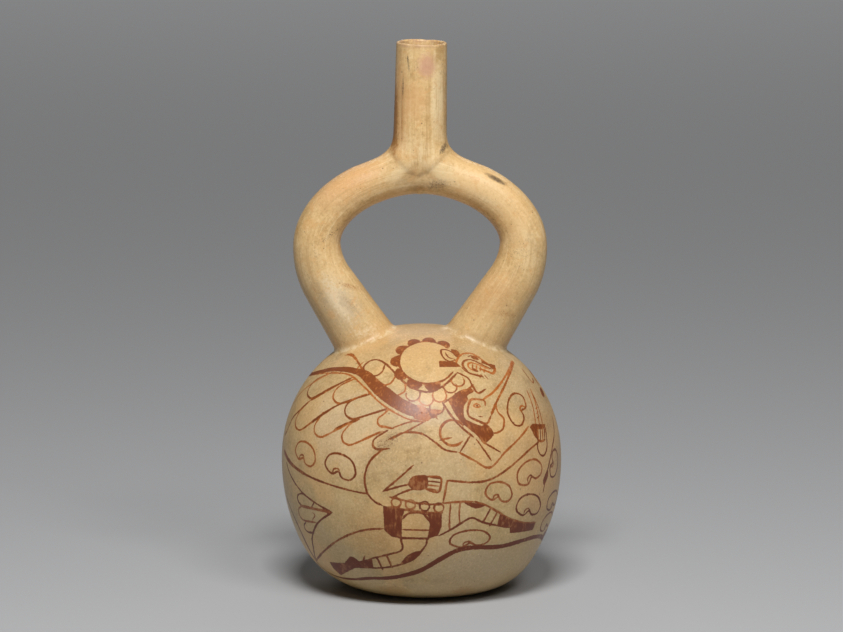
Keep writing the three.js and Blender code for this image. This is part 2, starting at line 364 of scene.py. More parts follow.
# %% Distances to the tubes, and how they melt together
def eased_step(x, low, high):
    """Nothing below low, one above high, and an easy slope between."""
    t = np.clip((x - low) / (high - low), 0, 1)
    return t * t * (3 - 2 * t)


def melted(a, b, reach):
    """The nearer of two distances, rounded over where both are near."""
    h = np.clip(reach - np.abs(a - b), 0, None) / reach
    return np.minimum(a, b) - h * h * reach / 4


def arch_distance(points, wall=0.0):
    signed = np.r_[-ARM_FAR[:0:-1], ARM_FAR]
    return to_line(points, ARCH_LINE, tube_radius(signed) - wall)[0]


def spout_distance(points, half_x, half_y, heights):
    x = points[:, 0] - spout_middle(points[:, 2])
    hx = np.interp(points[:, 2], heights, half_x)
    hy = np.interp(points[:, 2], heights, half_y)
    side = (np.hypot(x / hx, points[:, 1] / hy) - 1) * np.minimum(hx, hy)
    return np.maximum(side, heights[0] - points[:, 2])


def outer_joint(points):
    """Distance to everything near the foot of the spout, outside."""
    near = [arch_distance(points), spout_distance(points, SPOUT_HALF_X, SPOUT_HALF_Y, SPOUT_HEIGHTS)]
    radii = np.linspace(*SHOULDER_RADII, SHOULDER_POINTS)
    near += [to_line(points, shoulder_line(side), radii)[0] for side in (1, -1)]
    return np.min(near, axis=0)


def inner_joint(points):
    return np.minimum(
        arch_distance(points, ARCH_WALL),
        spout_distance(points, BORE_RADII, BORE_RADII, BORE_HEIGHTS),
    )


crest = np.array([[ARCH_SHIFT, 0.0, ARCH_TOP]])
print("the arch's middle lies", round(-float(arch_distance(crest)[0]), 1), "mm deep in it")


# %% Finding the surface where a distance is nothing
def walk_to(points, directions, reach, distance, halvings=26):
    """Where rays from inside a shape first leave it, by halving."""
    low, high = np.zeros(len(points)), np.full(len(points), reach)
    for _ in range(halvings):
        mid = (low + high) / 2
        inside = distance(points + directions * mid[:, None]) < 0
        low, high = np.where(inside, mid, low), np.where(inside, high, mid)
    return points + directions * low[:, None]


def slope_of(distance, points, step):
    """How steeply a distance grows along each axis, felt over one step to either side."""
    return np.stack([
        (distance(points + step * axis) - distance(points - step * axis)) / (2 * step) for axis in np.eye(3)
    ], 1)


def settled(points, distance, rounds=5, flattest=0.2):
    """Points moved straight onto the surface where a distance is nothing."""
    for _ in range(rounds):
        here = distance(points)
        slope = slope_of(distance, points, 0.05)
        points = points - slope * (here / np.maximum((slope ** 2).sum(1), flattest))[:, None]
    return points


crest = settled(crest + [[0, 0, TUBE_RADII[0]]], arch_distance)
print("top of the arch without the spout:", round(float(crest[0, 2]), 1), "mm up")


# %% [markdown]
# ## Gathering the mesh
# Blender takes a mesh as lists of points and faces. Each stretch of clay is made on its own: the
# ball, two arms, the joint under the spout, the spout and its lip, then the same again for the
# inside. They share the rings of points where they meet, so the result is one closed skin with
# no seam to weld.

# %% The clay that is gathered, with its map
class Clay:
    def __init__(self):
        self.points, self.faces, self.maps = [], [], []
        self.count = 0

    def add(self, points):
        """Adds points in millimetres and gives their numbers."""
        numbers = np.arange(self.count, self.count + len(points))
        self.points.append(np.asarray(points, float))
        self.count += len(points)
        return numbers

    def fill(self, faces, places):
        """Adds faces of three or four corners, with each corner's place on the map."""
        self.faces.append(np.asarray(faces))
        self.maps.append(np.asarray(places, float))

    def sleeve(self, rows, patch, heights, flip=False):
        """Fills between rings of points. patch is (left, low, width, height) on the map."""
        rows = np.asarray(rows)
        around = rows.shape[1]
        nxt = np.roll(rows, -1, axis=1)
        quads = np.stack([rows[:-1], nxt[:-1], nxt[1:], rows[1:]], -1)
        u = np.arange(around) / around
        left, low, width, height = patch
        v = low + height * (np.asarray(heights) - heights[0]) / (heights[-1] - heights[0])
        places = np.empty(quads.shape + (2,))
        places[..., 0] = left + width * (u[None, :, None] + np.array([0, 1, 1, 0]) / around)
        places[..., 1] = np.stack([v[:-1], v[:-1], v[1:], v[1:]], -1)[:, None, :]
        quads, places = quads.reshape(-1, 4), places.reshape(-1, 4, 2)
        if flip:
            quads, places = quads[:, ::-1], places[:, ::-1]
        self.fill(quads, places)


clay = Clay()
print("clay gathered so far:", clay.count, "points")


# %% Triangles between points in a plane, with rings kept as edges
def triangles_between(flat, rings):
    """Delaunay triangles over flat points. rings are loops of point numbers that stay as edges."""
    edges = [(int(a), int(b)) for ring in rings for a, b in zip(ring, np.roll(ring, -1))]
    made = delaunay_2d_cdt([Vector(p) for p in flat.tolist()], edges, [], 0, 1e-9)
    first = np.array([origin[0] for origin in made[3]])
    return first[np.array(made[2])]


def within(points, loop):
    """True where flat points lie inside a closed loop."""
    a, b = loop, np.roll(loop, -1, axis=0)
    inside = np.zeros(len(points), bool)
    for (ax, ay), (bx, by) in zip(a, b):
        crosses = (ay > points[:, 1]) != (by > points[:, 1])
        with np.errstate(divide="ignore", invalid="ignore"):
            at = ax + (points[:, 1] - ay) * (bx - ax) / (by - ay)
        inside ^= crosses & (points[:, 0] < at)
    return inside


def clockwise(tris, flat):
    """The triangles with each one's corners in clockwise order in the plane."""
    a, b, c = (flat[tris[:, i]] for i in range(3))
    turned = (b[:, 0] - a[:, 0]) * (c[:, 1] - a[:, 1]) - (b[:, 1] - a[:, 1]) * (c[:, 0] - a[:, 0])
    return np.where((turned > 0)[:, None], tris[:, ::-1], tris)


square = np.array([[0.0, 0.0], [1.0, 0.0], [1.0, 1.0], [0.0, 1.0]])
print("a square falls into", len(triangles_between(square, [np.arange(4)])), "triangles")


# %% [markdown]
# ## Where the arms meet the body
# The potter pressed each arm onto the shoulder of the ball and smoothed a little slip round it.
# A boolean would leave a hard corner there. Instead each arm's sleeve of points ends on a ring
# that lies on the ball, and the rows near it are settled onto the melted surface of both.

# %% The rings at the foot of an arm
FILLET = 3.0
FOOT_SEARCH_FROM = 85.0


def foot_rings(side, around, wall, fillet, body):
    """For each direction round the arm: where the fillet starts on the tube, where tube and body
    cross, where the fillet ends on the body, how far along the arm it starts, and the direction."""
    phi = np.linspace(0, 2 * math.pi, around, endpoint=False)

    def spot(place, off):
        return round_arm(place, side, phi, tube_radius(place) - wall + off)

    def where(off, gap, halvings=24):
        low, high = np.full(around, FOOT_SEARCH_FROM), np.full(around, ARM_FAR[-1])
        for _ in range(halvings):
            mid = (low + high) / 2
            above = body.distance(spot(mid, off + 0 * mid)) > gap
            low, high = np.where(above, mid, low), np.where(above, high, mid)
        return low

    start = where(0.0, fillet)
    corner = where(0.0, 0.0)
    end = where(fillet, 0.0)
    zero = np.zeros(around)
    return spot(start, zero), spot(corner, zero), spot(end, zero + fillet), start, phi


fillet_from = foot_rings(1, 8, 0.0, FILLET, outer_body)[3]
print("the fillet starts", [round(float(v), 1) for v in (fillet_from.min(), fillet_from.max())], "mm down")

# %% One arm, from the joint under the spout down to the ball
ARM_START = 30.0
FILLET_LENGTH = 1.7


def arm_sleeve(side, patch, around, step, wall, fillet, body, inward):
    upper, corner, lower, start, phi = foot_rings(side, around, wall, fillet, body)
    tilt, turn = body.bearings(lower)
    lower = body.surface(tilt, turn)
    count = int((start.mean() - ARM_START) / step)
    rows, places = [], []
    for share in np.linspace(0, 1, count + 1):
        place = ARM_START + (start - ARM_START) * share
        rows.append(round_arm(place, side, phi, tube_radius(place) - wall))
        places.append(place)
    fillet_rows = max(5, int(round(FILLET_LENGTH * fillet / step)))

    def melt(points):
        return melted(arch_distance(points, wall), body.distance(points), fillet)

    for share in np.linspace(0, 1, fillet_rows + 1)[1:-1]:
        guess = (1 - share) ** 2 * upper + 2 * share * (1 - share) * corner + share ** 2 * lower
        rows.append(settled(guess, melt))
        places.append(start + FILLET_LENGTH * fillet * share)
    numbers = [clay.add(row) for row in rows]
    foot = clay.add(lower)
    numbers.append(foot)
    lengths = [float(np.mean(place)) for place in places]
    lengths.append(lengths[-1] + fillet * FILLET_LENGTH / fillet_rows)
    clay.sleeve(numbers, patch, lengths, flip=(side > 0) != inward)
    print("inside" if inward else "outside", "of an arm:", len(numbers), "rings of", around, "points")
    return numbers[0], foot


print("rings leave the joint", ARM_START, "mm from its middle")


# %% [markdown]
# ## The joint under the spout
# Three tubes meet there. The patch between their rings is made by looking out from a point inside
# the joint: directions spread evenly over a sphere, with the three rings left open, are joined into
# triangles and then pushed out along each line of sight until they reach the clay. A few rounds of
# averaging soften the creases, as a wet finger would.

# %% Looking out from inside the joint
JOINT_EYE = np.array([-0.7, 0.0, 217.0])


def spread_directions(count):
    i = np.arange(count) + 0.5
    height = 1 - 2 * i / count
    turn = math.pi * (1 + 5 ** 0.5) * i
    r = np.sqrt(1 - height ** 2)
    return np.stack([r * np.cos(turn), r * np.sin(turn), height], 1)


def seen_from_eye(points):
    d = points - JOINT_EYE
    return d / np.linalg.norm(d, axis=1)[:, None]


def laid_flat(d):
    """Directions laid flat around straight down, with angles kept."""
    return d[:, :2] / np.clip(1 - d[:, 2], 1e-6, None)[:, None]


print("five directions rise", [round(float(v), 2) for v in spread_directions(5)[:, 2]])

# %% The V where the spout was pressed on
CREASE_FRONT = np.array([
    [-15.2, 227], [-10.5, 221.8], [-6, 217.2], [-2.2, 215.4], [2.4, 217.2], [7.5, 222], [12.8, 227]])
CREASE_DEPTH = 0.1
CREASE_WIDTH = 1.6
CREASE_STEP = 0.5
CREASE_STEP_FROM = -1.8
CREASE_STEP_TO = 1.6
CREASE_FADE = 8.0
CREASE_FACE = 6.0
CREASE_FACE_FROM = 0.4


def from_crease(points):
    """How far points of the joint lie from the V where the spout was pressed on, seen from the front
    or the back, and less than nothing below the V."""
    flat = points[:, [0, 2]] * np.where(points[:, 1:2] < 0, 1, [[-1, 1]])
    gap, _ = to_line(flat, CREASE_FRONT)
    above = flat[:, 1] > np.interp(flat[:, 0], CREASE_FRONT[:, 0], CREASE_FRONT[:, 1])
    return np.where(above, gap, -gap)


def creased(points, distance):
    """The joint with its V pressed in and the spout's side of it standing a little proud."""
    gap = from_crease(points)
    face = np.clip(np.abs(points[:, 1]) / CREASE_FACE - CREASE_FACE_FROM, 0, 1)
    press = -CREASE_DEPTH * np.exp(-(gap / CREASE_WIDTH) ** 2)
    proud = CREASE_STEP * eased_step(gap, CREASE_STEP_FROM, CREASE_STEP_TO)
    proud *= np.exp(-np.clip(gap, 0, None) / CREASE_FADE)
    slope = slope_of(distance, points, 0.4)
    slope /= np.linalg.norm(slope, axis=1)[:, None] + 1e-9
    return points + slope * ((press + proud) * face)[:, None]


print("the V is", round(float(walked(CREASE_FRONT)[-1]), 1), "mm long on each side")


# %% The patch between three rings
JOINT_REACH = 48.0
JOINT_CLEARANCE = 0.6


def softened(points, tris, rounds, fixed, pull=0.5):
    """Each free point eased towards the mean of its neighbours, the first points held."""
    pairs = np.concatenate([tris[:, [0, 1]], tris[:, [1, 2]], tris[:, [2, 0]]])
    pairs = np.concatenate([pairs, pairs[:, ::-1]])
    weight = np.bincount(pairs[:, 0], minlength=len(points))[:, None]
    for _ in range(rounds):
        total = np.stack([
            np.bincount(pairs[:, 0], points[pairs[:, 1], i], minlength=len(points)) for i in range(3)
        ], 1)
        eased = points + pull * (total / np.maximum(weight, 1) - points)
        eased[:fixed] = points[:fixed]
        points = eased
    return points


def between_rings(flat, spout_loop, arm_loops):
    """True where flat points lie inside the spout's loop and outside the arms' loops."""
    inside = within(flat, spout_loop)
    for loop in arm_loops:
        inside &= ~within(flat, loop)
    return inside


def joint_places(directions, patch):
    """Where directions from the joint's eye lie on the map. patch is (left, low, size)."""
    down = np.arccos(np.clip(-directions[:, 2], -1, 1))
    about = np.arctan2(directions[:, 1], directions[:, 0])
    left, low, size = patch
    place = np.stack([np.cos(about), np.sin(about)], 1) * (down / math.pi * 0.5)[:, None] * size
    return place + [left + size / 2, low + size / 2]


def joint_patch(rings, distance, count, soften, patch, inward):
    """rings are the numbers of the spout's ring and of the two arms' rings."""
    known = np.concatenate(rings)
    known_points = np.concatenate(clay.points)[known]
    fixed = seen_from_eye(known_points)
    free = spread_directions(count)
    loops, at = [], 0
    for ring in rings:
        loops.append(np.arange(at, at + len(ring)))
        at += len(ring)
    flat_fixed, flat_free = laid_flat(fixed), laid_flat(free)
    spout_loop, *arm_loops = [flat_fixed[loop] for loop in loops]
    keep = between_rings(flat_free, spout_loop, arm_loops)
    nearest = np.min([np.linalg.norm(free - f, axis=1) for f in fixed], axis=0)
    keep &= nearest > JOINT_CLEARANCE * math.sqrt(4 * math.pi / count)
    free = free[keep]
    reached = walk_to(np.repeat(JOINT_EYE[None], len(free), 0), free, JOINT_REACH, distance)
    flat = np.concatenate([flat_fixed, flat_free[keep]])
    tris = triangles_between(flat, loops)
    tris = tris[between_rings(flat[tris].mean(1), spout_loop, arm_loops)]
    points = softened(np.concatenate([known_points, reached]), tris, soften, len(known))
    if not inward:
        points[len(known):] = creased(points[len(known):], distance)
    numbers = np.r_[known, clay.add(points[len(known):])]
    tris = clockwise(tris, flat)
    if inward:
        tris = tris[:, ::-1]
    clay.fill(numbers[tris], joint_places(np.concatenate([fixed, free]), patch)[tris])
    print("inside" if inward else "outside", "of the joint:", len(tris), "triangles")


print("the joint is looked at from", JOINT_EYE.tolist())

# %% [markdown]
# ## The spout and its lip
# The neck is a plain tube, a hair wider at its foot. Its lip was pinched thin and is now worn: it
# dips to the right and small flakes are gone from its edge, more on the right of the front.

# %% Rings up the spout
SPOUT_START = 245.0
NECK_STEP = 1.3
LIP_ROOM = 1.6
LIP_ROWS = 10
LIP_CALM = 0.35
BORE_ROOM = 3.5
BORE_ROWS = 14
# the lip's waves as height, number round the lip and start
LIP_WAVES = ((0.06, 3, 1), (0.03, 7, 0))
# the lip's chips as degrees round it, width in degrees and depth in millimetres
CHIPS = [(-58, 6, 0.35), (-38, 4, 0.3), (-26, 3.5, 0.4), (-112, 5, 0.2), (75, 8, 0.25), (160, 5, 0.2)]


def spout_ring(z, half_x, half_y, around, chip=0.0):
    turn = np.linspace(0, 2 * math.pi, around, endpoint=False)
    x = half_x * np.cos(turn)
    tilted = np.clip((z - RIM_HEIGHT) / RIM_TILT_REACH + 1, 0, 1)
    wave = sum(size * np.sin(number * turn + start) for size, number, start in LIP_WAVES)
    for where, width, depth in CHIPS:
        apart = (np.degrees(turn) - where + 180) % 360 - 180
        wave = wave - depth * np.exp(-(apart / width) ** 2)
    height = z - x * math.tan(RIM_TILT) * tilted + chip * wave
    return np.stack([spout_middle(z) + x, half_y * np.sin(turn), height], 1)


def spout_sleeve(around, patch, inner_patch):
    """The neck outside, over the lip and down the bore. Gives its two lowest rings."""
    outer, lengths = [], []
    for z in np.arange(SPOUT_START, RIM_HEIGHT - LIP_ROOM, NECK_STEP):
        hx = np.interp(z, SPOUT_HEIGHTS, SPOUT_HALF_X)
        hy = np.interp(z, SPOUT_HEIGHTS, SPOUT_HALF_Y)
        outer.append(clay.add(spout_ring(z, hx, hy, around)))
        lengths.append(z)
    out, bore = SPOUT_HALF_X[-1], BORE_RADII[-1]
    mid, half = (out + bore) / 2, (out - bore) / 2
    for angle in np.linspace(0, math.pi, LIP_ROWS):
        r = mid + half * math.cos(angle)
        rise = math.sin(angle)
        chip = LIP_CALM + (1 - LIP_CALM) * rise
        outer.append(clay.add(spout_ring(RIM_HEIGHT - half + half * rise, r, r, around, chip)))
        lengths.append(lengths[-1] + half * math.pi / (LIP_ROWS - 1))
    clay.sleeve(outer, patch, lengths)
    inner, depths = [outer[-1]], [0.0]
    for z in np.linspace(RIM_HEIGHT - BORE_ROOM, SPOUT_START, BORE_ROWS):
        r = np.interp(z, BORE_HEIGHTS, BORE_RADII)
        inner.append(clay.add(spout_ring(z, r, r, around)))
        depths.append(RIM_HEIGHT - z)
    clay.sleeve(inner, inner_patch, depths)
    print("spout:", len(outer), "rings outside and", len(inner) - 1, "in the bore")
    return outer[0], inner[-1]


print("chips in the lip:", len(CHIPS))


# %% [markdown]
# ## The ball
# The ball's points lie in rings a little over two millimetres apart, with more of them wherever a
# brush line will run. Its two open rings are the feet of the arms.

# %% An even net of points over the ball
ROW_SHARE = 0.87
CROWN_ROOM = 1.2


def ball_points(body, spacing):
    """Tilts and turns of an even net of points over the body."""
    line = body.outline
    far = walked(line)
    tilts, turns = [], []
    for i, place in enumerate(np.arange(spacing, far[-1] - CROWN_ROOM, spacing * ROW_SHARE)):
        r = np.interp(place, far, line[:, 0])
        z = np.interp(place, far, line[:, 1])
        if r < body.FIRST_RING:
            continue
        count = max(6, int(round(2 * math.pi * r / spacing)))
        turn = (np.arange(count) + 0.5 * (i % 2)) * 2 * math.pi / count
        tilts.append(np.full(count, math.atan2(z - BODY_EQUATOR, r)))
        turns.append(turn)
    return np.concatenate(tilts), np.concatenate(turns)


print("an even net of 6 mm takes", len(ball_points(outer_body, 6.0)[0]), "points")

# %% The skin of the ball, between the arms' feet
OFF_BRUSH = 0.42
OFF_RING = 0.45


def ball_skin(body, spacing, feet, extra, discs, inward):
    """feet are the arms' rings, extra the brush points as (tilt, turn), discs the map's two halves."""
    tilt, turn = ball_points(body, spacing)
    fixed = np.concatenate(feet)
    fixed_points = np.concatenate(clay.points)[fixed]
    f_tilt, f_turn = body.bearings(fixed_points)
    if extra is not None:
        tilt, turn = thinned(body, (extra[0], extra[1]), (tilt, turn), spacing * OFF_BRUSH)
    plane = body.plane(tilt, turn)
    f_plane = body.plane(f_tilt, f_turn)
    loops = [f_plane[:len(feet[0])], f_plane[len(feet[0]):]]
    points = body.surface(tilt, turn)
    keep = np.ones(len(plane), bool)
    for loop, foot in zip(loops, feet):
        keep &= ~within(plane, loop)
        ring = np.concatenate(clay.points)[foot]
        near, _ = to_line(points, np.concatenate([ring, ring[:1]]))
        keep &= near > spacing * OFF_RING
    tilt, turn, plane, points = tilt[keep], turn[keep], plane[keep], points[keep]
    flat = np.concatenate([f_plane, plane, [[0.0, 0.0]]])
    rings = [np.arange(len(feet[0])), np.arange(len(feet[0]), len(fixed))]
    tris = triangles_between(flat, rings)
    middle = flat[tris].mean(1)
    good = ~(within(middle, loops[0]) | within(middle, loops[1]))
    tris = tris[good]
    tris = clockwise(tris, flat)
    base = body.outline[0]
    new = clay.add(np.concatenate([points, [[drift(base[1]), 0.0, base[1]]]]))
    numbers = np.r_[fixed, new]
    crown = clay.add([[0.0, 0.0, body.outline[-1, 1]]])
    rim = crown_ring(tris, len(fixed))
    fan = np.stack([numbers[rim], numbers[np.roll(rim, -1)], np.full(len(rim), crown[0])], 1)
    tris = np.concatenate([numbers[tris], fan])
    if inward:
        tris = tris[:, ::-1]
    clay.fill(tris, disc_places(tris, discs))
    print("inside" if inward else "outside", "of the ball:", len(tris), "triangles")


def crown_ring(tris, skip):
    """The outermost ring of the flattened plane, in order round the crown. The first skip points
    are the arms' feet, whose open rings aren't the one that is looked for."""
    edges = {}
    for t in tris:
        for a, b in ((t[0], t[1]), (t[1], t[2]), (t[2], t[0])):
            if (b, a) in edges:
                del edges[(b, a)]
            else:
                edges[(a, b)] = True
    loose = [(a, b) for a, b in edges if a >= skip and b >= skip]
    follow = {b: a for a, b in loose}
    ring = [loose[0][1]]
    while follow[ring[-1]] != ring[0]:
        ring.append(follow[ring[-1]])
    return np.array(ring)


DISC_REACH = 118.0
DISC_RISE = 12.0


def disc_places(tris, discs):
    """Each corner's place on the map: one disc for the front of the ball and one for the back."""
    points = np.concatenate(clay.points)[tris]
    back = points.mean(1)[:, 1] > 0
    places = np.empty(tris.shape + (2,))
    for facing, (cx, cy, size) in zip((-1, 1), discs):
        pick = back == (facing > 0)
        p, q = onto_sheet(points[pick], facing)
        scale = size / DISC_REACH
        places[pick] = np.stack([cx + p * scale, cy + (q + DISC_RISE) * scale], -1)
    return places


print("each half of the ball's map reaches", DISC_REACH, "mm along the clay")


# %% [markdown]
# ## A sheet to draw on
# The painter worked on the round pot, turning it as the figure grew. To draw here in plain
# millimetres, each face of the ball gets a sheet: its middle is where the ball faces the viewer,
# and distances from that middle are measured along the clay. Lines keep their shape well up to
# the sides, which a flat projection would smear.

# %% From the clay to a drawing sheet and back
SHEET_TILT = CAMERA_RISE


def sheet_axes(facing):
    """The sheet's look, right and up directions. facing is -1 for the front and 1 for the back."""
    look = np.array([0, facing * math.cos(SHEET_TILT), math.sin(SHEET_TILT)])
    up = np.array([0, -facing * math.sin(SHEET_TILT), math.cos(SHEET_TILT)])
    return look, np.array([-facing, 0, 0]), up


def onto_sheet(points, facing):
    look, right, up = sheet_axes(facing)
    d = points - MIDDLE
    d = np.stack([d[..., 0] - drift(points[..., 2]), d[..., 1], d[..., 2]], -1)
    d /= np.linalg.norm(d, axis=-1)[..., None]
    far = BODY_RADIUS * np.arccos(np.clip(d @ look, -1, 1))
    about = np.arctan2(d @ up, d @ right)
    return far * np.cos(about), far * np.sin(about)


def from_sheet(sheet, facing):
    """Tilts and turns on the ball of points drawn on a sheet."""
    look, right, up = sheet_axes(facing)
    far = np.linalg.norm(sheet, axis=-1) / BODY_RADIUS
    about = np.arctan2(sheet[..., 1], sheet[..., 0])
    side = np.cos(about)[..., None] * right + np.sin(about)[..., None] * up
    d = np.cos(far)[..., None] * look + np.sin(far)[..., None] * side
    return np.arcsin(np.clip(d[..., 2], -1, 1)), np.arctan2(d[..., 1], d[..., 0])


side_of_ball = onto_sheet(MIDDLE + [[BODY_RADIUS, 0, 0]], -1)
print("the ball's side lies", round(float(side_of_ball[0][0]), 1), "mm from the middle of the sheet")


# %% Thinning points that lie too near each other
def thinned(body, first, second, gap, cell=0.36):
    """Of the first points, one in each small cell, and of the second ones those that keep off them."""
    f_points = body.surface(*first)
    keep, seen = [], set()
    for i, key in enumerate(map(tuple, np.floor(f_points / cell).astype(int).tolist())):
        if key not in seen:
            seen.add(key)
            keep.append(i)
    f_tilt, f_turn = first[0][keep], first[1][keep]
    close = set()
    for dx in (-1, 0, 1):
        for dy in (-1, 0, 1):
            for dz in (-1, 0, 1):
                cells = np.floor(f_points[keep] / gap).astype(int) + [dx, dy, dz]
                close.update(map(tuple, cells.tolist()))
    s_cells = map(tuple, np.floor(body.surface(*second) / gap).astype(int).tolist())
    far = np.array([c not in close for c in s_cells])
    return np.r_[f_tilt, second[0][far]], np.r_[f_turn, second[1][far]]


net = ball_points(outer_body, 6.0)
print("a net laid over itself keeps", len(thinned(outer_body, net, net, 1.0)[0]), "points")


# %% [markdown]
# ## The brush
# The painter used thin red-brown clay water and a small brush, mostly one width, pressed a little
# harder in places and lifted at the ends. A picture mapped on would blur and would have to come
# from somewhere. Here each brush line is a few points on the sheet with a smooth curve through
# them, and the skin gets extra points along both of its edges, so the line stays crisp close up.

# %% A smooth curve through a few points
STROKE_STEP = 1.1


def curve_through(places, step=STROKE_STEP, closed=False):
    """A smooth curve through points of the sheet, with its points about one step apart."""
    p = np.asarray(places, float)
    if len(p) == 2:
        return evenly(p, step)
    if closed:
        p = np.concatenate([p[-1:], p, p[:2]])
    else:
        p = np.concatenate([2 * p[:1] - p[1:2], p, 2 * p[-1:] - p[-2:-1]])
    t = np.linspace(0, 1, 12, endpoint=False)[:, None]
    bits = []
    for a, b, c, d in zip(p, p[1:], p[2:], p[3:]):
        bits.append(b + 0.5 * t * ((c - a) + t * (2 * a - 5 * b + 4 * c - d + t * (3 * b - a - 3 * c + d))))
    return evenly(np.concatenate(bits + [p[-2:-1]]), step)


trial = curve_through([(0, 0), (10, 0), (10, 10), (0, 10)], closed=True)
print("a loop through the corners of a 10 mm square is", round(float(walked(trial)[-1]), 1), "mm long")


# %% Lines and filled areas on one face of the ball

class Brush:
    """All the marks on one face: facing is -1 for the front and 1 for the back."""
    LIFT = 2.4
    EVENNESS = 0.92
    SLOW_SWAY = 0.1
    QUICK_SWAY = 0.06
    LOADS = (0.65, 1.1)

    def __init__(self, facing):
        self.facing = facing
        self.lines, self.areas = [], []

    def line(self, places, width=1.25, closed=False, load=1.0, lift=0.6):
        """A brush line. width is one number, or a few that are spread evenly along it."""
        curve = curve_through(places, closed=closed)
        far = walked(curve)
        widths = np.atleast_1d(np.asarray(width, float))
        half = 0.5 * np.interp(far / far[-1], np.linspace(0, 1, len(widths)), widths)
        if not closed:
            ends = np.minimum(far, far[-1] - far) / self.LIFT
            half = half * (1 - lift * np.clip(1 - ends, 0, 1) ** 1.5)
        sway = self.SLOW_SWAY * np.sin(far * 0.41 + curve[0, 0]) + self.QUICK_SWAY * np.sin(far * 1.13)
        half = half * self.EVENNESS + sway * np.minimum(half, 0.7)
        self.lines.append((curve, half, load * rng.uniform(*self.LOADS)))

    def area(self, places, load=1.0, sharp=False):
        """A filled area. sharp keeps its corners."""
        p = np.asarray(places, float)
        if sharp:
            curve = evenly(np.concatenate([p, p[:1]]), STROKE_STEP)
        else:
            curve = curve_through(p, closed=True)
        self.areas.append((curve, load))

    def ring(self, at, radius, start=0.0, end=360.0, width=1.2, load=1.0):
        """A circle, or a part of one, round a point. Angles are in degrees."""
        count = max(4, int(abs(end - start) / 24))
        angle = np.radians(np.linspace(start, end, count + 1))
        path = np.stack([at[0] + radius * np.cos(angle), at[1] + radius * np.sin(angle)], 1)
        if abs(end - start) >= 360:
            self.line(path[:-1], width, closed=True, load=load)
        else:
            self.line(path, width, load=load)

    def blob(self, at, across, up, turn=0.0, load=1.0):
        """A filled oval round a point, turned by some degrees."""
        angle = np.linspace(0, 2 * math.pi, 12, endpoint=False)
        self.area(moved(np.stack([across / 2 * np.cos(angle), up / 2 * np.sin(angle)], 1), at, turn), load)


def moved(path, at=(0, 0), turn=0.0, size=1.0, flip=1):
    """A path made smaller or larger, turned by some degrees and set down elsewhere."""
    c, s = math.cos(math.radians(turn)), math.sin(math.radians(turn))
    p = np.asarray(path, float) * size * [1, flip]
    return np.stack([p[:, 0] * c - p[:, 1] * s + at[0], p[:, 0] * s + p[:, 1] * c + at[1]], 1)


def told(b, what):
    print(what, "drawn:", len(b.lines), "lines and", len(b.areas), "filled areas so far")


front = Brush(-1)
told(front, "nothing")


# %% [markdown]
# ## The things that are drawn
# The scene is of a kind that such pots often carry: a runner with a feathered cloak and a scaled
# sash, a round headdress with an animal's head on it, and beans floating round about. Each thing
# is a function, so the plainer runner on the far side is drawn with the same hand. The front is
# drawn as the functions go by, from the headdress down to the ground.

# %% Beans, feathers, scales and fingers
def bean(b, at, turn=0.0, size=1.0, flip=1):
    """A bean: a kidney outline with a small loop in its notch."""
    outline = [(-9.5, -2), (-8, 4), (-1.5, 6.5), (6, 5), (10, -0.5), (8, -5), (3, -5.5), (0, -3), (-4, -5.5)]
    b.line(moved(outline, at, turn, size, flip), 1.25, closed=True)
    b.line(moved([(-3.6, -5), (-3, -2.4), (-0.4, -1.6), (0.8, -3.2)], at, turn, size, flip), 1.1)


def feather(b, high, tip, low, half, heavy=1.2):
    """A long feather: out from high, round a blunt tip, and back to low."""
    high, tip, low = (np.array(v, float) for v in (high, tip, low))
    run = (high + low) / 2 - tip
    run /= np.linalg.norm(run)
    side = np.array([-run[1], run[0]])
    if (high - tip) @ side < 0:
        side = -side
    round_tip = [tip + half * (1.1 * run + side), tip + half * 0.3 * (run + 2.2 * side), tip,
                 tip + half * 0.3 * (run - 2.2 * side), tip + half * (1.1 * run - side)]
    b.line([high, *round_tip, low], (heavy, 1.1, heavy, 1.4, heavy))


def fingers(b, knuckle, tip, count, spread, width=1.0):
    """Lines side by side that part the fingers of a hand."""
    knuckle, tip, spread = (np.array(v, float) for v in (knuckle, tip, spread))
    for i in range(count):
        off = spread * (i / (count - 1) - 0.5)
        b.line([knuckle + off, tip + off], width)


def bands_across(b, start, end, reach, count, width=1.2):
    """Short bands across a limb, from start to end along it, each one reach long."""
    start, end, reach = (np.array(v, float) for v in (start, end, reach))
    for i in range(count):
        at = start + (end - start) * (i / max(1, count - 1))
        b.line([at, at + reach], width, lift=0.2)


trial = moved([(0, 0), (10, 0)], at=(5, 5), turn=90)
print("a 10 mm path turned upright ends at", [round(float(v), 1) for v in trial[-1]])


# %% The headdress and the animal on it
def headdress(b, at=(3.5, 58), radius=16.5, animal=True):
    b.ring(at, radius, 38, 330, 1.4)
    half_moon = [(-3.9, -0.2), (-3.7, 2.4), (-1.7, 4.5), (1.7, 4.5), (3.7, 2.4), (3.9, -0.2)]
    for i in range(9):
        angle = math.radians(22 + 32 * i)
        seat = np.array(at) + (radius + 0.4) * np.array([math.cos(angle), math.sin(angle)])
        b.area(moved(half_moon, seat, math.degrees(angle) - 90, 0.8 if i == 0 else 1.0))
    if animal:
        b.area([(10, 52.5), (10, 57.5), (20, 57), (23, 53.5)], sharp=True)
        animal_head(b)


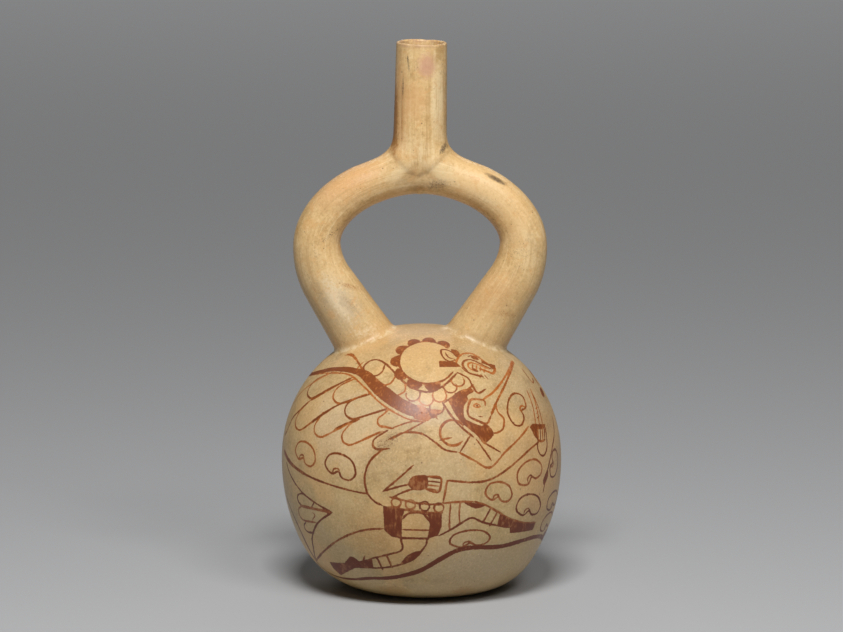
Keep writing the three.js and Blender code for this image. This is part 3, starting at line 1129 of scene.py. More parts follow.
def animal_head(b):
    """A lean, long-nosed animal with its ears back and its teeth showing."""
    b.line([(20, 58.5), (16, 57.2), (12.6, 60.5), (11.8, 66.5), (15.5, 66.8), (19, 64.5), (22, 61)], 1.2)
    b.line([(14.2, 64.5), (15.8, 60.5), (19.5, 59.2)], 1.0)
    b.line([(20, 56.2), (22, 61.2), (25.5, 64.6), (30, 65.6), (34, 64), (37.5, 60.8), (41.5, 58)], 1.4)
    b.area([(36.5, 61.6), (40.3, 59), (45.6, 58.6), (45, 55.5), (42.6, 54.6), (41, 56.6), (36, 58.4)],
           sharp=True)
    b.line([(45, 56.2), (42.6, 51.4), (39, 52.2), (34, 53.8)], 1.8)
    b.line([(42.5, 54.4), (38, 56.2), (33, 58.8), (28.5, 60), (24.6, 57.8), (24, 54), (26.5, 50.8)], 1.3)
    b.line([(40.5, 53.8), (35, 56), (31, 57.4), (27.6, 56.8), (27.2, 54), (29.5, 51.6)], 1.1)
    b.line([(23, 53), (26, 50.2), (31, 48.6), (35.5, 48)], 1.3)
    b.blob((32.4, 61.9), 5.4, 2.9, -18)
    b.line([(28, 62.2), (30.4, 63.6), (34.6, 62.8)], 1.0)
    for i in range(4):
        b.line([(30.2 + 2.3 * i, 56.6 - 0.9 * i), (29.6 + 2.3 * i, 53.8 - 0.9 * i)], 1.0, lift=0.2)
    for i in range(3):
        b.line([(32 + 2.2 * i, 49.4), (33.6 + 2.4 * i, 46.8)], 1.0)
    b.blob((31, 52.2), 4.4, 2.4, -20)


headdress(front)
told(front, "headdress")


# %% The scaled sash and the long band under it
def sash(b, scales=True):
    b.line([(-33, 50), (-34, 55.5), (-30, 59.5), (-25, 59), (-20, 55), (-15, 49), (-10, 43), (-4, 38.5),
            (4, 36.5), (12, 40.5), (20, 49)], 1.3)
    b.line([(20, 49.5), (26, 46), (28, 41.5), (31, 37), (36, 40)], 1.3)
    b.line([(11, 30), (17, 34), (24, 38), (29, 42)], 1.2)
    if not scales:
        return
    for notch in ([(-21, 56), (-22, 50.5), (-26, 47.5), (-31, 50)], [(-14, 47.5), (-17, 42), (-23, 41)],
                  [(-9, 42.5), (-9, 37), (-15, 33.5)]):
        b.line(notch, 1.1)
    for at in ((-4.5, 35), (2.5, 32.5), (9.5, 34.5), (15.5, 40), (20, 44), (8, 28)):
        b.ring(at, 3.7, 150, 400, 1.0)
    b.line([(-22, 49), (-21.5, 54.5)], 1.0)


def long_band(b, whole=True):
    far_end = [(-110, 103), (-104, 87), (-96, 73)] if whole else [(-92, 62)]
    b.line([*far_end, (-84, 64), (-72, 60.3), (-58, 58), (-44, 54.5), (-35, 50.5)],
           (2.2, 2.6, 2.9, 3.1, 3.4, 4.4), lift=0.2, load=1.3)
    b.line([(-41, 53.4), (-33, 49.5), (-24, 40), (-14, 31.5), (-5, 26.5), (6, 24)],
           (3.8, 6.0, 7.6, 7.8, 7.2, 5.6), lift=0.2, load=1.15)
    b.area([(-2, 29.5), (4, 27), (11, 26.5), (3, 20.2), (-4, 21.6)], load=0.75, sharp=True)
    b.line([(-78, 60), (-60, 55.5), (-43, 50.5), (-32, 41), (-21, 30), (-8, 22), (2, 20)],
           (0.9, 1.1, 1.1, 1.1, 0.9))
    b.line([(-51, 70.5), (-45, 67.5), (-40, 61.5), (-34, 52)], (2.6, 1.9, 1.3, 0.9), load=1.3, lift=0.2)
    b.line([(-35, 59), (-38, 54), (-33, 50)], 1.0)


sash(front)
long_band(front)
told(front, "sash")


# %% The feathered cloak behind the runner
def cloak(b):
    feather(b, (-56, 55), (-75.5, 44), (-40, 48), 7.2)
    feather(b, (-70, 37), (-82, 22), (-52, 29), 7.0)
    feather(b, (-38, 47), (-51, 36), (-29, 36.5), 6.2)
    feather(b, (-57, 28), (-62, 16), (-36, 21.5), 6.0)
    feather(b, (-28, 36), (-42, 26.5), (-17, 27.5), 5.6)
    feather(b, (-36, 21.5), (-42.5, 11), (-20, 15.5), 5.0)
    feather(b, (-17, 27), (-22.8, 20), (-14, 16.5), 3.4)
    feather(b, (-17, 16), (-25, 8), (-16, 6.5), 3.4)
    b.line([(-70, 37), (-60, 40), (-50, 44), (-42, 48)], (1.6, 1.3, 1.0))
    b.line([(-66, 22), (-55, 27.5), (-46, 31.5), (-37, 34)], (2.2, 1.5, 1.1))
    b.line([(-48, 16.8), (-41, 19.7), (-33, 22)], (2.0, 1.4))
    b.line([(-100, 17), (-95, 20), (-88, 28), (-80, 32), (-70, 37)], 1.3)
    b.line([(-98, 39), (-86, 47), (-75, 50.5), (-58, 54.5)], (1.0, 1.3, 1.0), load=0.7)
    b.line([(-16, 11), (-8, 15), (2, 20.5)], 1.0)
    b.line([(-15, 17), (-6, 20), (0, 20.3)], 1.0)


cloak(front)
told(front, "cloak")


# %% The head, calm and plain, with a bird's long bill
def head(b, plain=False):
    b.line([(11, 30.5), (15, 24), (20, 18), (27, 12.4)], 1.3)
    b.line([(14, 32), (18.5, 25.5), (24, 19), (28, 15.6)], 1.2)
    b.area([(15, 32), (20, 37.5), (27, 39.6), (28.5, 37.6), (24.6, 35), (25, 32.6), (22.6, 29), (22.4, 22.8),
            (26, 20.4), (31.4, 18.6), (34.6, 19.4), (38.4, 15.4), (37, 12), (32.6, 9.6), (28, 14), (21, 19.6),
            (16.6, 26)])
    b.line([(34.5, 29.6), (34.2, 32.6), (30, 33.2), (26.4, 32.6), (24.4, 27.6), (24.8, 23.6), (29, 21.4),
            (34.6, 19.8), (37.6, 24.6)], 1.4)
    b.line([(33.6, 33.4), (42, 40), (53, 53.5), (62.4, 67), (62.8, 64.2)], (1.5, 1.3, 1.2, 1.8))
    b.line([(37.4, 24.4), (42, 33), (50, 45.5), (60.5, 62.5), (62.4, 67)], (1.6, 1.4, 1.3, 2.0))
    b.line([(41, 30.4), (42, 26.4), (45.2, 23), (44.4, 17.5), (41, 15.2), (38, 14.6)], 1.3)
    b.line([(27.6, 29.2), (29.4, 30.6), (31.8, 29.4), (29.6, 28.5)], 0.9, closed=True)
    b.blob((29.8, 29.5), 1.5, 1.3)
    b.line([(30, 23.6), (32.6, 23.4)], 1.0)
    b.blob((21, 33.4), 3.6, 3.0, 30)
    b.ring((16, 14.6), 6.6, 35, 320, 1.5)
    if plain:
        return
    for start, end in (((25.5, 13.6), (19.4, 4.4)), ((28.4, 11.4), (37, 0)), ((31, 10.4), (42.4, 4.6))):
        b.line([start, end], 1.1)


head(front)
told(front, "head")


# %% The body, with one hand raised and one at the belt
def trunk(b):
    b.line([(-20, 6), (-26.5, 0), (-29.5, -8), (-28.5, -16), (-24.5, -21), (-20, -23)], 1.3)
    b.line([(-17, 11), (-9, 14.5), (0, 14), (7, 9.5), (12, 5.8), (19, 4.5)], 1.2)
    b.line([(19, 4.5), (27, 0.5), (36, -3.5), (45, 4.5), (55, 12.5), (63, 20)], 1.3)
    b.line([(71, 11), (63, 6.5), (55, 1), (46, -5), (37, -9.6), (27, -11), (13, -9.7)], 1.3)
    b.line([(13, -9.7), (12, -16), (11, -21.5)], 1.3)
    b.line([(9, 10.5), (13, 11.6), (15.5, 12)], 1.3)


def raised_hand(b, bundle=True):
    b.area([(63.5, 19.5), (66, 21.5), (79.5, 22.5), (77.5, 19.6), (70, 18.5), (70.5, 10.8), (67, 14)],
           sharp=True)
    fingers(b, (74, 19.5), (73.6, 12), 4, (6.6, 0.6), 1.2)
    b.line([(70, 12.2), (73, 11.2), (77.4, 12.4)], 1.3)
    b.line([(70, 12), (69.3, 7), (72, 3), (76, 3), (79, 8), (79, 16), (78.5, 21.5)], 1.2)
    if bundle:
        for foot, tip in (((69, 22), (66.5, 44)), ((72.5, 22), (70.5, 46)), ((76, 22.3), (71, 44))):
            b.line([foot, ((foot[0] + tip[0]) / 2 + 1, 33), tip], 1.0, load=0.8)
        for i in range(3):
            b.line([(71, 25.5 + 3 * i), (73.5, 27 + 3 * i)], 0.9, load=0.8)


def belt_hand(b):
    b.area([(-6.5, -10.5), (-4.5, -7.6), (0, -6.8), (3, -7.6), (3, -13.2), (-1.5, -14.8), (-5.5, -13.8)])
    fingers(b, (3, -10.9), (9.8, -11.8), 4, (1.2, 6.0), 1.1)
    b.line([(3, -7.4), (9.3, -8), (9.9, -11.8), (8.4, -15.8), (2.4, -14.4)], 1.2)
    b.line([(-19.5, -15.5), (-12, -13), (-5, -11.5)], 1.2)
    b.line([(-20, -15.6), (-12, -9), (-4, -1.8)], 1.2)
    b.line([(-15.5, -18.8), (-9, -15.6), (-4, -14)], 1.2)


trunk(front)
raised_hand(front)
belt_hand(front)
told(front, "body and hands")


# %% The belt, the loincloth and the tunic
def clothes(b):
    b.line([(-16.5, -18.3), (-9, -20), (0, -21.6), (11, -22.3)], 1.3)
    b.line([(-17, -23.5), (-9, -24.8), (0, -26), (11, -26.6)], 1.3)
    for i in range(4):
        b.ring((-13 + 7.3 * i, -21.2 - 0.9 * i), 2.5, width=1.1)
    b.area([(-20, -23), (-8.5, -25), (-10, -29), (-10.3, -40.3), (-15.5, -40), (-19.5, -36.5)], sharp=True)
    b.area([(1.5, -26), (10.5, -26.5), (10.5, -34), (8.5, -39), (3, -40.5), (4.2, -33), (3.6, -28.5)],
           sharp=True)
    b.line([(-10, -30), (-7, -27), (-3, -26.3), (1, -26.8), (4, -31)], 1.5)
    b.line([(-10, -35.6), (4, -35.8)], 1.2)
    b.line([(-12, -40.2), (4, -40.4)], 1.5)
    b.line([(11, -21.5), (20, -21), (28, -21.3)], 1.3)
    b.line([(15, -21.6), (14.5, -29), (14.6, -36)], 1.1)
    b.line([(20, -21), (19.6, -27), (20, -33)], 1.1)


clothes(front)
told(front, "clothes")


# %% The legs, both at full stretch
def legs(b):
    b.line([(27, -21), (34, -23.5), (41, -27.5), (49, -32.5), (56, -35.5), (64, -38), (71.5, -39.3)], 1.3)
    b.line([(9, -39), (15, -36), (21, -32.5), (26.5, -30), (33, -33), (41, -35.5), (50, -38.2)], 1.3)
    b.area([(22, -21.2), (33.5, -23.3), (31, -24.9), (27, -24.6)])
    bands_across(b, (37, -25.8), (41.3, -28), (-4.2, -7.4), 2)
    b.area([(43, -29.2), (49, -31.8), (54, -35.5), (71.5, -39.2), (69.5, -44), (60, -43), (50.5, -41.8),
            (50, -38.5), (41.5, -35.4)], sharp=True)
    b.line([(-11, -40.3), (-10.4, -47), (-19.5, -50.8), (-28.5, -54)], 1.3)
    b.line([(3, -40.3), (2, -44.5), (-3, -50.5), (-10, -55.2), (-18, -58), (-28, -60)], 1.3)
    b.area([(0, -47.3), (-6, -49), (-10.5, -53.8), (-10.6, -56), (-5, -53.6), (-1, -50)])
    bands_across(b, (-18.6, -50.8), (-24, -52.8), (2.6, -7.2), 2)
    b.area([(-27, -53.4), (-35, -56.6), (-37.6, -54.6), (-40.5, -54.4), (-42.5, -57), (-45, -60),
            (-57, -63.2), (-55, -68), (-51, -72.2), (-45, -67), (-38, -61.8), (-26.5, -60)], sharp=True)
    b.line([(-31, -52.5), (-33, -57)], 1.0)


legs(front)
told(front, "legs")


# %% The ground and the trailing cloth
def ground(b):
    b.line([(-73, -70), (-69, -75), (-62, -77), (-52, -75.2), (-40, -71.2), (-30, -67.5), (-20, -65.6),
            (-10, -62.8), (0, -58.8), (10, -52.5), (18, -48.3), (25, -47), (33, -47.6), (45, -49), (60, -49),
            (72, -50), (82, -53.5), (90, -60), (101, -68)],
           (1.5, 1.6, 2.4, 2.8, 3.2, 3.2, 2.8, 3.0, 2.8, 2.6, 2.8), load=1.4, lift=0.2)


def trailing_cloth(b):
    b.line([(-98, 6), (-90, 0), (-80, -5), (-65, -10), (-50, -13.5), (-38, -15.8), (-28, -17.2)],
           (3.0, 2.2, 1.4, 1.2, 1.1))
    b.line([(-93, -2), (-88, -9), (-80, -16), (-72, -21), (-60, -26), (-50, -29)], 1.2)
    b.line([(-50, -29), (-60, -36), (-65, -42), (-69, -50), (-70, -58), (-72, -68)], 1.3)
    b.line([(-77, -29.2), (-64, -29), (-50.5, -29.2)], 1.8)
    feather(b, (-72, -21), (-79.5, -25), (-76, -28.8), 3.6)
    feather(b, (-77, -29.4), (-80, -35), (-63, -37.5), 4.6)
    feather(b, (-73, -40), (-75.6, -44), (-66, -45), 3.2)
    for low in (-25, -33):
        b.line([(-66, low - 3.4), (-63.4, low), (-65.6, low + 1.6)], 1.0)
    b.line([(-20, -35.5), (-30, -37), (-40, -41), (-50, -47.5), (-60, -56.5), (-68, -65), (-72.5, -70)], 1.3)
    b.line([(-101, -27), (-91, -37.5), (-83, -48), (-78, -58), (-73, -69)], (1.0, 1.6, 2.4, 2.2))


ground(front)
trailing_cloth(front)
told(front, "ground and cloth")

# %% Beans and small things round about the runner
for at, turn, size, flip in (
    ((-70, 4), -22, 1.0, 1), ((-44, -3), -18, 1.0, 1), ((55.5, 30), -112, 1.05, -1),
    ((63, -7), 25, 1.05, 1), ((42, -17), -10, 0.85, 1), ((64, -27), -6, 1.05, 1),
    ((26, -41.8), 2, 1.15, 0.66), ((89, -3), 70, 0.95, -1), ((92, -29), 10, 1.0, 1), ((88, -44), 5, 1.0, 1),
):
    bean(front, at, turn, size, flip)
front.line([(93, 30), (91, 18), (86, 8), (80.5, -5), (77, -16), (76, -21)], (1.0, 1.3, 1.3, 1.0))
front.area([(80, -6), (80.5, -11), (76.5, -16), (75.5, -12)])
front.line([(70, 63), (73, 57), (77, 52.5), (80, 58)], 1.2)
front.blob((87, 48), 6, 10, -20)
front.blob((97, 98), 5, 8, 50)
told(front, "everything in front")

# %% The back: the same hand, plainer
back = Brush(1)


def plain_runner(b):
    headdress(b, animal=False)
    sash(b, scales=False)
    head(b, plain=True)
    trunk(b)
    raised_hand(b, bundle=False)
    belt_hand(b)
    clothes(b)
    legs(b)
    long_band(b, whole=False)
    feather(b, (-56, 55), (-75.5, 44), (-40, 48), 7.2)
    feather(b, (-57, 40), (-72, 24), (-29, 36.5), 7.6)
    feather(b, (-50, 27), (-56, 12), (-20, 18), 6.4)


plain_runner(back)
back.line([(-120, -66), (-108, -60), (-96, -60), (-80, -66), (-62, -73), (-45, -72), (-28, -66), (-8, -62),
           (8, -54), (20, -49), (36, -49), (60, -50), (80, -54), (96, -52), (108, -44)],
          (2.8, 3.0, 2.6, 3.0, 3.0, 2.8), lift=0.2)
for at, turn in (((-70, -2), -22), ((-48, -28), 12), ((55, 30), 68), ((63, -9), 25), ((42, -16), -10),
                 ((70, -32), -6), ((92, 14), 30), ((-88, -38), 20), ((94, -20), -15)):
    bean(back, at, turn)
told(back, "everything behind")


# %% Where the skin needs its extra points
EDGE = 0.5
END_REACH = 0.6
AREA_NET = 1.6


def run_and_side(curve):
    """The direction in which a curve runs at each of its points, and the unit direction beside it."""
    run = np.gradient(curve, axis=0)
    return run, np.stack([-run[:, 1], run[:, 0]], 1) / np.linalg.norm(run, axis=1)[:, None]


def brush_points(b):
    """Sheet points along the middle and both edges of every mark, and inside filled areas."""
    out = []
    for curve, half, _ in b.lines:
        run, side = run_and_side(curve)
        for off in (0 * half, half, -half, half + EDGE, -half - EDGE):
            out.append(curve + side * off[:, None])
        reach = END_REACH * run[[0, -1]] / np.linalg.norm(run[[0, -1]], axis=1)[:, None]
        out.append(curve[[0, -1]] + reach * [[-1], [1]])
    for curve, _ in b.areas:
        _, side = run_and_side(curve)
        out += [curve, curve + side * EDGE, curve - side * EDGE]
        steps = [np.arange(a + AREA_NET / 2, z, AREA_NET) for a, z in zip(curve.min(0), curve.max(0))]
        net = np.stack(np.meshgrid(*steps), -1).reshape(-1, 2)
        out.append(net[within(net, curve)])
    return np.concatenate(out)


spots = [from_sheet(brush_points(b), b.facing) for b in (front, back)]
extra = tuple(np.concatenate([s[i] for s in spots]) for i in (0, 1))
print("points along the brush lines:", len(extra[0]))


# %% How far each point of the skin is from the paint
PAINT_FAR = 3.0
PAST_THE_SIDE = 45.0
AREA_MARGIN = 4.0


def painted(points, marks):
    """The distance to the nearest paint, less than nothing inside it, and how loaded the brush was."""
    gap = np.full(len(points), PAINT_FAR)
    load = np.ones(len(points))

    def lay(pick, found, strength):
        better = found < gap[pick]
        rows = pick[better]
        gap[rows] = found[better]
        load[rows] = strength

    for b in marks:
        side = np.nonzero(points[:, 1] * b.facing > -PAST_THE_SIDE)[0]
        sheet = np.stack(onto_sheet(points[side], b.facing), 1)
        for curve, half, strength in b.lines:
            line = outer_body.surface(*from_sheet(curve, b.facing))
            reach = half.max() + PAINT_FAR
            close = ((points[side] > line.min(0) - reach) & (points[side] < line.max(0) + reach)).all(1)
            pick = side[close]
            if len(pick):
                lay(pick, to_line(points[pick], line, half)[0], strength)
        for curve, strength in b.areas:
            line = outer_body.surface(*from_sheet(curve, b.facing))
            close = ((sheet > curve.min(0) - AREA_MARGIN) & (sheet < curve.max(0) + AREA_MARGIN)).all(1)
            pick = side[close]
            if len(pick):
                far = to_line(points[pick], line)[0]
                lay(pick, np.where(within(sheet[close], curve), -far, far), strength)
    return gap, load


trial = outer_body.surface(*from_sheet(front.lines[0][0][:1], front.facing))
print("from the middle of a line out of the paint:", round(float(painted(trial, [front])[0][0]), 2), "mm")


# %% The outside, joined into one skin
AROUND = 56
ARM_ROW_STEP = 1.5
JOINT_POINTS = 5200
JOINT_ROUNDS = 5
BALL_SPACING = 2.3
SPOUT_PATCH = (0.005, 0.855, 0.2, 0.12)
BORE_PATCH = (0.79, 0.01, 0.08, 0.1)
ARM_PATCHES = ((0.005, 0.595, 0.19, 0.25), (0.2, 0.595, 0.19, 0.25))
JOINT_PATCH = (0.215, 0.855, 0.135)
BALL_DISCS = ((0.292, 0.292, 0.288), (0.708, 0.708, 0.288))


def both_arms(patches, *sizes):
    """The sleeves of both arms. Gives their rings under the spout and their rings on the ball."""
    rings = [arm_sleeve(side, patch, *sizes) for side, patch in zip((1, -1), patches)]
    return [top for top, _ in rings], [foot for _, foot in rings]


neck, bore = spout_sleeve(AROUND, SPOUT_PATCH, BORE_PATCH)
tops, feet = both_arms(ARM_PATCHES, AROUND, ARM_ROW_STEP, 0.0, FILLET, outer_body, False)
joint_patch([neck, *tops], outer_joint, JOINT_POINTS, JOINT_ROUNDS, JOINT_PATCH, False)
first_of_ball = clay.count
ball_skin(outer_body, BALL_SPACING, feet, extra, BALL_DISCS, False)
outer_count = clay.count
print("outer skin:", outer_count, "points")

# %% The hollow, more coarsely, because only the top of the bore is ever seen
HOLLOW_AROUND = 28
HOLLOW_ROW_STEP = 4.0
HOLLOW_JOINT_POINTS = 1500
HOLLOW_JOINT_ROUNDS = 3
HOLLOW_SPACING = 6.0
HOLLOW_ARM_PATCHES = ((0.61, 0.01, 0.08, 0.17), (0.7, 0.01, 0.08, 0.17))
HOLLOW_JOINT_PATCH = (0.88, 0.01, 0.1)
HOLLOW_DISCS = ((0.71, 0.3, 0.1), (0.9, 0.3, 0.085))

tops, feet = both_arms(HOLLOW_ARM_PATCHES, HOLLOW_AROUND, HOLLOW_ROW_STEP, ARCH_WALL, FILLET,
                       inner_body, True)
joint_patch([bore, *tops], inner_joint, HOLLOW_JOINT_POINTS, HOLLOW_JOINT_ROUNDS, HOLLOW_JOINT_PATCH, True)
ball_skin(inner_body, HOLLOW_SPACING, feet, None, HOLLOW_DISCS, True)
print("with the hollow:", clay.count, "points")

# %% The mesh in Blender
points = np.concatenate(clay.points)
faces = [f for group in clay.faces for f in group.tolist()]
mesh = bpy.data.meshes.new("clay")
mesh.from_pydata((points * MM).tolist(), [], faces)
bake = mesh.uv_layers.new(name="OFBake")
bake.data.foreach_set("uv", np.concatenate([m.reshape(-1, 2) for m in clay.maps]).ravel())
mesh.polygons.foreach_set("use_smooth", np.ones(len(faces), bool))
mesh.update()
vessel = bpy.data.objects.new("painted_vessel", mesh)
bpy.context.scene.collection.objects.link(vessel)
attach(vessel, "root")
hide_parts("vessel")
triangles = sum(len(f) - 2 for f in faces)
print("triangles:", triangles)

# %% [markdown]
# ## What the skin remembers
# The material needs to know things that only the making knows: how far a point is from the paint,
# which way the stone rubbed, and where two pieces of clay were joined. Each is kept on the points
# of the mesh, which costs nothing and stays sharp however near the camera comes.

# %% How far the paint is
ball = np.arange(first_of_ball, outer_count)
paint = np.full(len(points), PAINT_FAR)
load = np.ones(len(points))
paint[ball], load[ball] = painted(points[ball], (front, back))
print("painted points:", int((paint < 0).sum()))

# %% Which way the stone rubbed the arch and the neck
GRAIN_RADIUS = 12.0
NECK_FROM = 208.0
NECK_GRAIN_SHIFT = 100.0


def from_above(values):
    """Values of the points above the ball, with nothing for all the other points."""
    out = np.zeros((len(points),) + values.shape[1:])
    out[:first_of_ball] = values
    return out


above = points[:first_of_ball]
_, place = to_line(above, ARCH_LINE)
place = place - ARM_FAR[-1]
grain = np.zeros_like(above)
for side in (-1, 1):
    pick = (place < 0) == (side < 0)
    centre, normal, _ = arm_frame(np.abs(place[pick]), side)
    off = above[pick] - centre
    turn = np.arctan2(off[:, 1], (off * normal).sum(1))
    grain[pick] = np.stack([place[pick], GRAIN_RADIUS * np.cos(turn), GRAIN_RADIUS * np.sin(turn)], 1)
arch_gap = arch_distance(above)
neck_gap = spout_distance(above, SPOUT_HALF_X, SPOUT_HALF_Y, SPOUT_HEIGHTS)
on_neck = (neck_gap < arch_gap) & (above[:, 2] > NECK_FROM)
grain[on_neck] = above[on_neck][:, [2, 0, 1]] + [NECK_GRAIN_SHIFT, 0, 0]
print("points rubbed along the neck:", int(on_neck.sum()))

# %% Where pieces of clay were joined, and where the bare hollow begins
ARCH_FADE = (0.5, 9.0)
FOOT_CREASE_WIDTH = 1.6
FOOT_CREASE_REACH = 6.0
NECK_CREASE_WIDTH = 1.5
NECK_CREASE_FROM = 206.0
NECK_CREASE_FACE = 4.0
SLIP_INSIDE = 1.0
SLIP_FADE = 9.0
BORE_SIDE = 11.2

body_gap = outer_body.distance(above)
foot_crease = np.exp(-((arch_gap - body_gap) / FOOT_CREASE_WIDTH) ** 2) * (body_gap < FOOT_CREASE_REACH)
neck_crease = np.exp(-(from_crease(above) / NECK_CREASE_WIDTH) ** 2)
neck_crease *= (above[:, 2] > NECK_CREASE_FROM) & (np.abs(above[:, 1]) > NECK_CREASE_FACE)
hollow_share = np.zeros(len(points))
hollow_share[outer_count:] = 1.0
in_bore = np.hypot(points[:, 0] - spout_middle(points[:, 2]), points[:, 1]) < BORE_SIDE
in_bore &= points[:, 2] > SPOUT_START - 1
deep = np.clip((RIM_HEIGHT - SLIP_INSIDE - points[:, 2]) / SLIP_FADE, 0, 1)
hollow_share[in_bore] = deep[in_bore]
print("points of the bore:", int(in_bore.sum()))


# %% The marks kept on the points
def keep_on_points(name, values):
    kind = "FLOAT_VECTOR" if values.ndim == 2 else "FLOAT"
    data = mesh.attributes.new(name, kind, "POINT").data
    data.foreach_set("vector" if values.ndim == 2 else "value", np.ascontiguousarray(values, "f").ravel())


keep_on_points("paint", paint)
keep_on_points("load", load)
keep_on_points("grain", from_above(grain))
keep_on_points("arch_share", from_above(eased_step(body_gap, *ARCH_FADE)))
keep_on_points("foot_crease", from_above(foot_crease))
keep_on_points("neck_crease", from_above(neck_crease))
keep_on_points("hollow_share", hollow_share)
print("marks on the mesh:", sorted(a.name for a in mesh.attributes if not a.name.startswith(".")))

# %% [markdown]
# ## The clay's look
# Slip that dried in clouds, the streaks of the stone that rubbed it, the painting, and the dirt and
# stains of many centuries make the surface, and a few patches of painted highlight and painted shade
# are laid in among them. Each effect is a node group with plain inputs, so the
# same group can serve the ball, the arch and the bare inside. They could be one long tangle of
# nodes, which nobody could reuse.

# %% Helpers that add nodes and groups
def feed(tree, node, sockets):
    """Sets or links a node's inputs, by name or number."""
    for name, value in dict(sockets).items():
        if isinstance(value, bpy.types.NodeSocket):
            tree.links.new(value, node.inputs[name])
        else:
            node.inputs[name].default_value = value


def put(tree, kind, sockets=(), **settings):
    """Adds a node, makes its settings, and feeds its inputs."""
    node = tree.nodes.new("ShaderNode" + kind)
    for name, value in settings.items():
        setattr(node, name, value)
    feed(tree, node, sockets)
    return node


def group(name, inputs, outputs):
    """A new node group. inputs and outputs are pairs of a name and a kind."""
    tree = bpy.data.node_groups.new(name, "ShaderNodeTree")
    for pairs, way in ((inputs, "INPUT"), (outputs, "OUTPUT")):
        for title, kind in pairs:
            tree.interface.new_socket(title, in_out=way, socket_type="NodeSocket" + kind)
    return tree, tree.nodes.new("NodeGroupInput").outputs, tree.nodes.new("NodeGroupOutput").inputs


def give(tree, gives, **values):
    """Links what a group puts out, and tells how large the group is."""
    for name, value in values.items():
        tree.links.new(value, gives[name])
    print("group of", tree.name + ":", len(tree.nodes), "nodes")


def use(tree, shared, **sockets):
    """Places a node group and gives its outputs."""
    node = tree.nodes.new("ShaderNodeGroup")
    node.node_tree = shared
    feed(tree, node, sockets)
    return node.outputs


print("node groups so far:", len(bpy.data.node_groups))


# %% Helpers for sums, noise and mixed colours
def maths(tree, operation, *values, clamp=False):
    return put(tree, "Math", enumerate(values), operation=operation, use_clamp=clamp).outputs[0]


def times(tree, a, b):
    return maths(tree, "MULTIPLY", a, b)


def weighed(tree, *shares):
    """Pairs of a value and its share, multiplied and added up."""
    total, *others = [times(tree, value, share) for value, share in shares]
    for other in others:
        total = maths(tree, "ADD", total, other)
    return total


def ramp(tree, value, low, high):
    """Nothing below low, one above high, eased between. It also runs down, from a low above high."""
    return put(tree, "MapRange", {"Value": value, "From Min": low, "From Max": high},
               interpolation_type="SMOOTHSTEP").outputs["Result"]


def noise(tree, place, scale, detail=3.0, rough=0.55, distort=0.0):
    return put(tree, "TexNoise", {"Vector": place, "Scale": scale, "Detail": detail, "Roughness": rough,
                                  "Distortion": distort}).outputs["Fac"]


def stretched(tree, place, by):
    return put(tree, "VectorMath", {0: place, 1: by}, operation="MULTIPLY").outputs["Vector"]


def blend(tree, factor, a, b):
    """Two colours mixed by a factor. The mix node's colours are its inputs 6 and 7."""
    return put(tree, "Mix", {0: factor, 6: a, 7: b}, data_type="RGBA", clamp_factor=True).outputs[2]


def laid(tree, tone, mask, strength, colour):
    """A tone with a colour laid over it where a mask is."""
    return blend(tree, times(tree, mask, strength), tone, colour)


print("these helpers add Math, MapRange, TexNoise, VectorMath and Mix nodes")

# %% Clouds in the slip
cloud_group, given, gives = group(
    "slip clouds",
    (("Place", "Vector"), ("Pale", "Color"), ("Middle", "Color"), ("Dark", "Color")),
    (("Colour", "Color"), ("Cloud", "Float")))
wide = noise(cloud_group, given["Place"], 26.0, 4.0, 0.6, 0.8)
near = noise(cloud_group, given["Place"], 120.0, 5.0, 0.62, 0.5)
fine = noise(cloud_group, given["Place"], 520.0, 4.0, 0.65)
cloud = weighed(cloud_group, (wide, 0.36), (near, 0.34), (fine, 0.30))
tone = blend(cloud_group, ramp(cloud_group, cloud, 0.48, 0.61), given["Middle"], given["Pale"])
tone = blend(cloud_group, ramp(cloud_group, cloud, 0.51, 0.39), tone, given["Dark"])
give(cloud_group, gives, Colour=tone, Cloud=cloud)

# %% Streaks of the burnishing stone
streak_group, given, gives = group(
    "stone streaks", (("Along", "Vector"), ("Width", "Float")), (("Streak", "Float"), ("Height", "Float")))
broad = noise(streak_group, stretched(streak_group, given["Along"], (0.035, 1, 1)), given["Width"], 3.0, 0.5)
thin = noise(streak_group, stretched(streak_group, given["Along"], (0.06, 2.2, 2.2)), 1.0, 4.0, 0.6)
streak = weighed(streak_group, (broad, 0.6), (thin, 0.4))
give(streak_group, gives, Streak=streak, Height=times(streak_group, streak, 0.5))

# %% Specks and pits
speck_group, given, gives = group(
    "specks", (("Place", "Vector"), ("Spacing", "Float"), ("Share", "Float")), (("Mask", "Float"),))
cells = put(speck_group, "TexVoronoi",
            {"Vector": given["Place"], "Scale": given["Spacing"], "Randomness": 1.0}).outputs
speck = ramp(speck_group, cells["Distance"], 0.17, 0.06)
chosen = put(speck_group, "SeparateColor", {"Color": cells["Color"]}).outputs["Red"]
chosen = maths(speck_group, "LESS_THAN", chosen, given["Share"])
give(speck_group, gives, Mask=times(speck_group, speck, chosen))

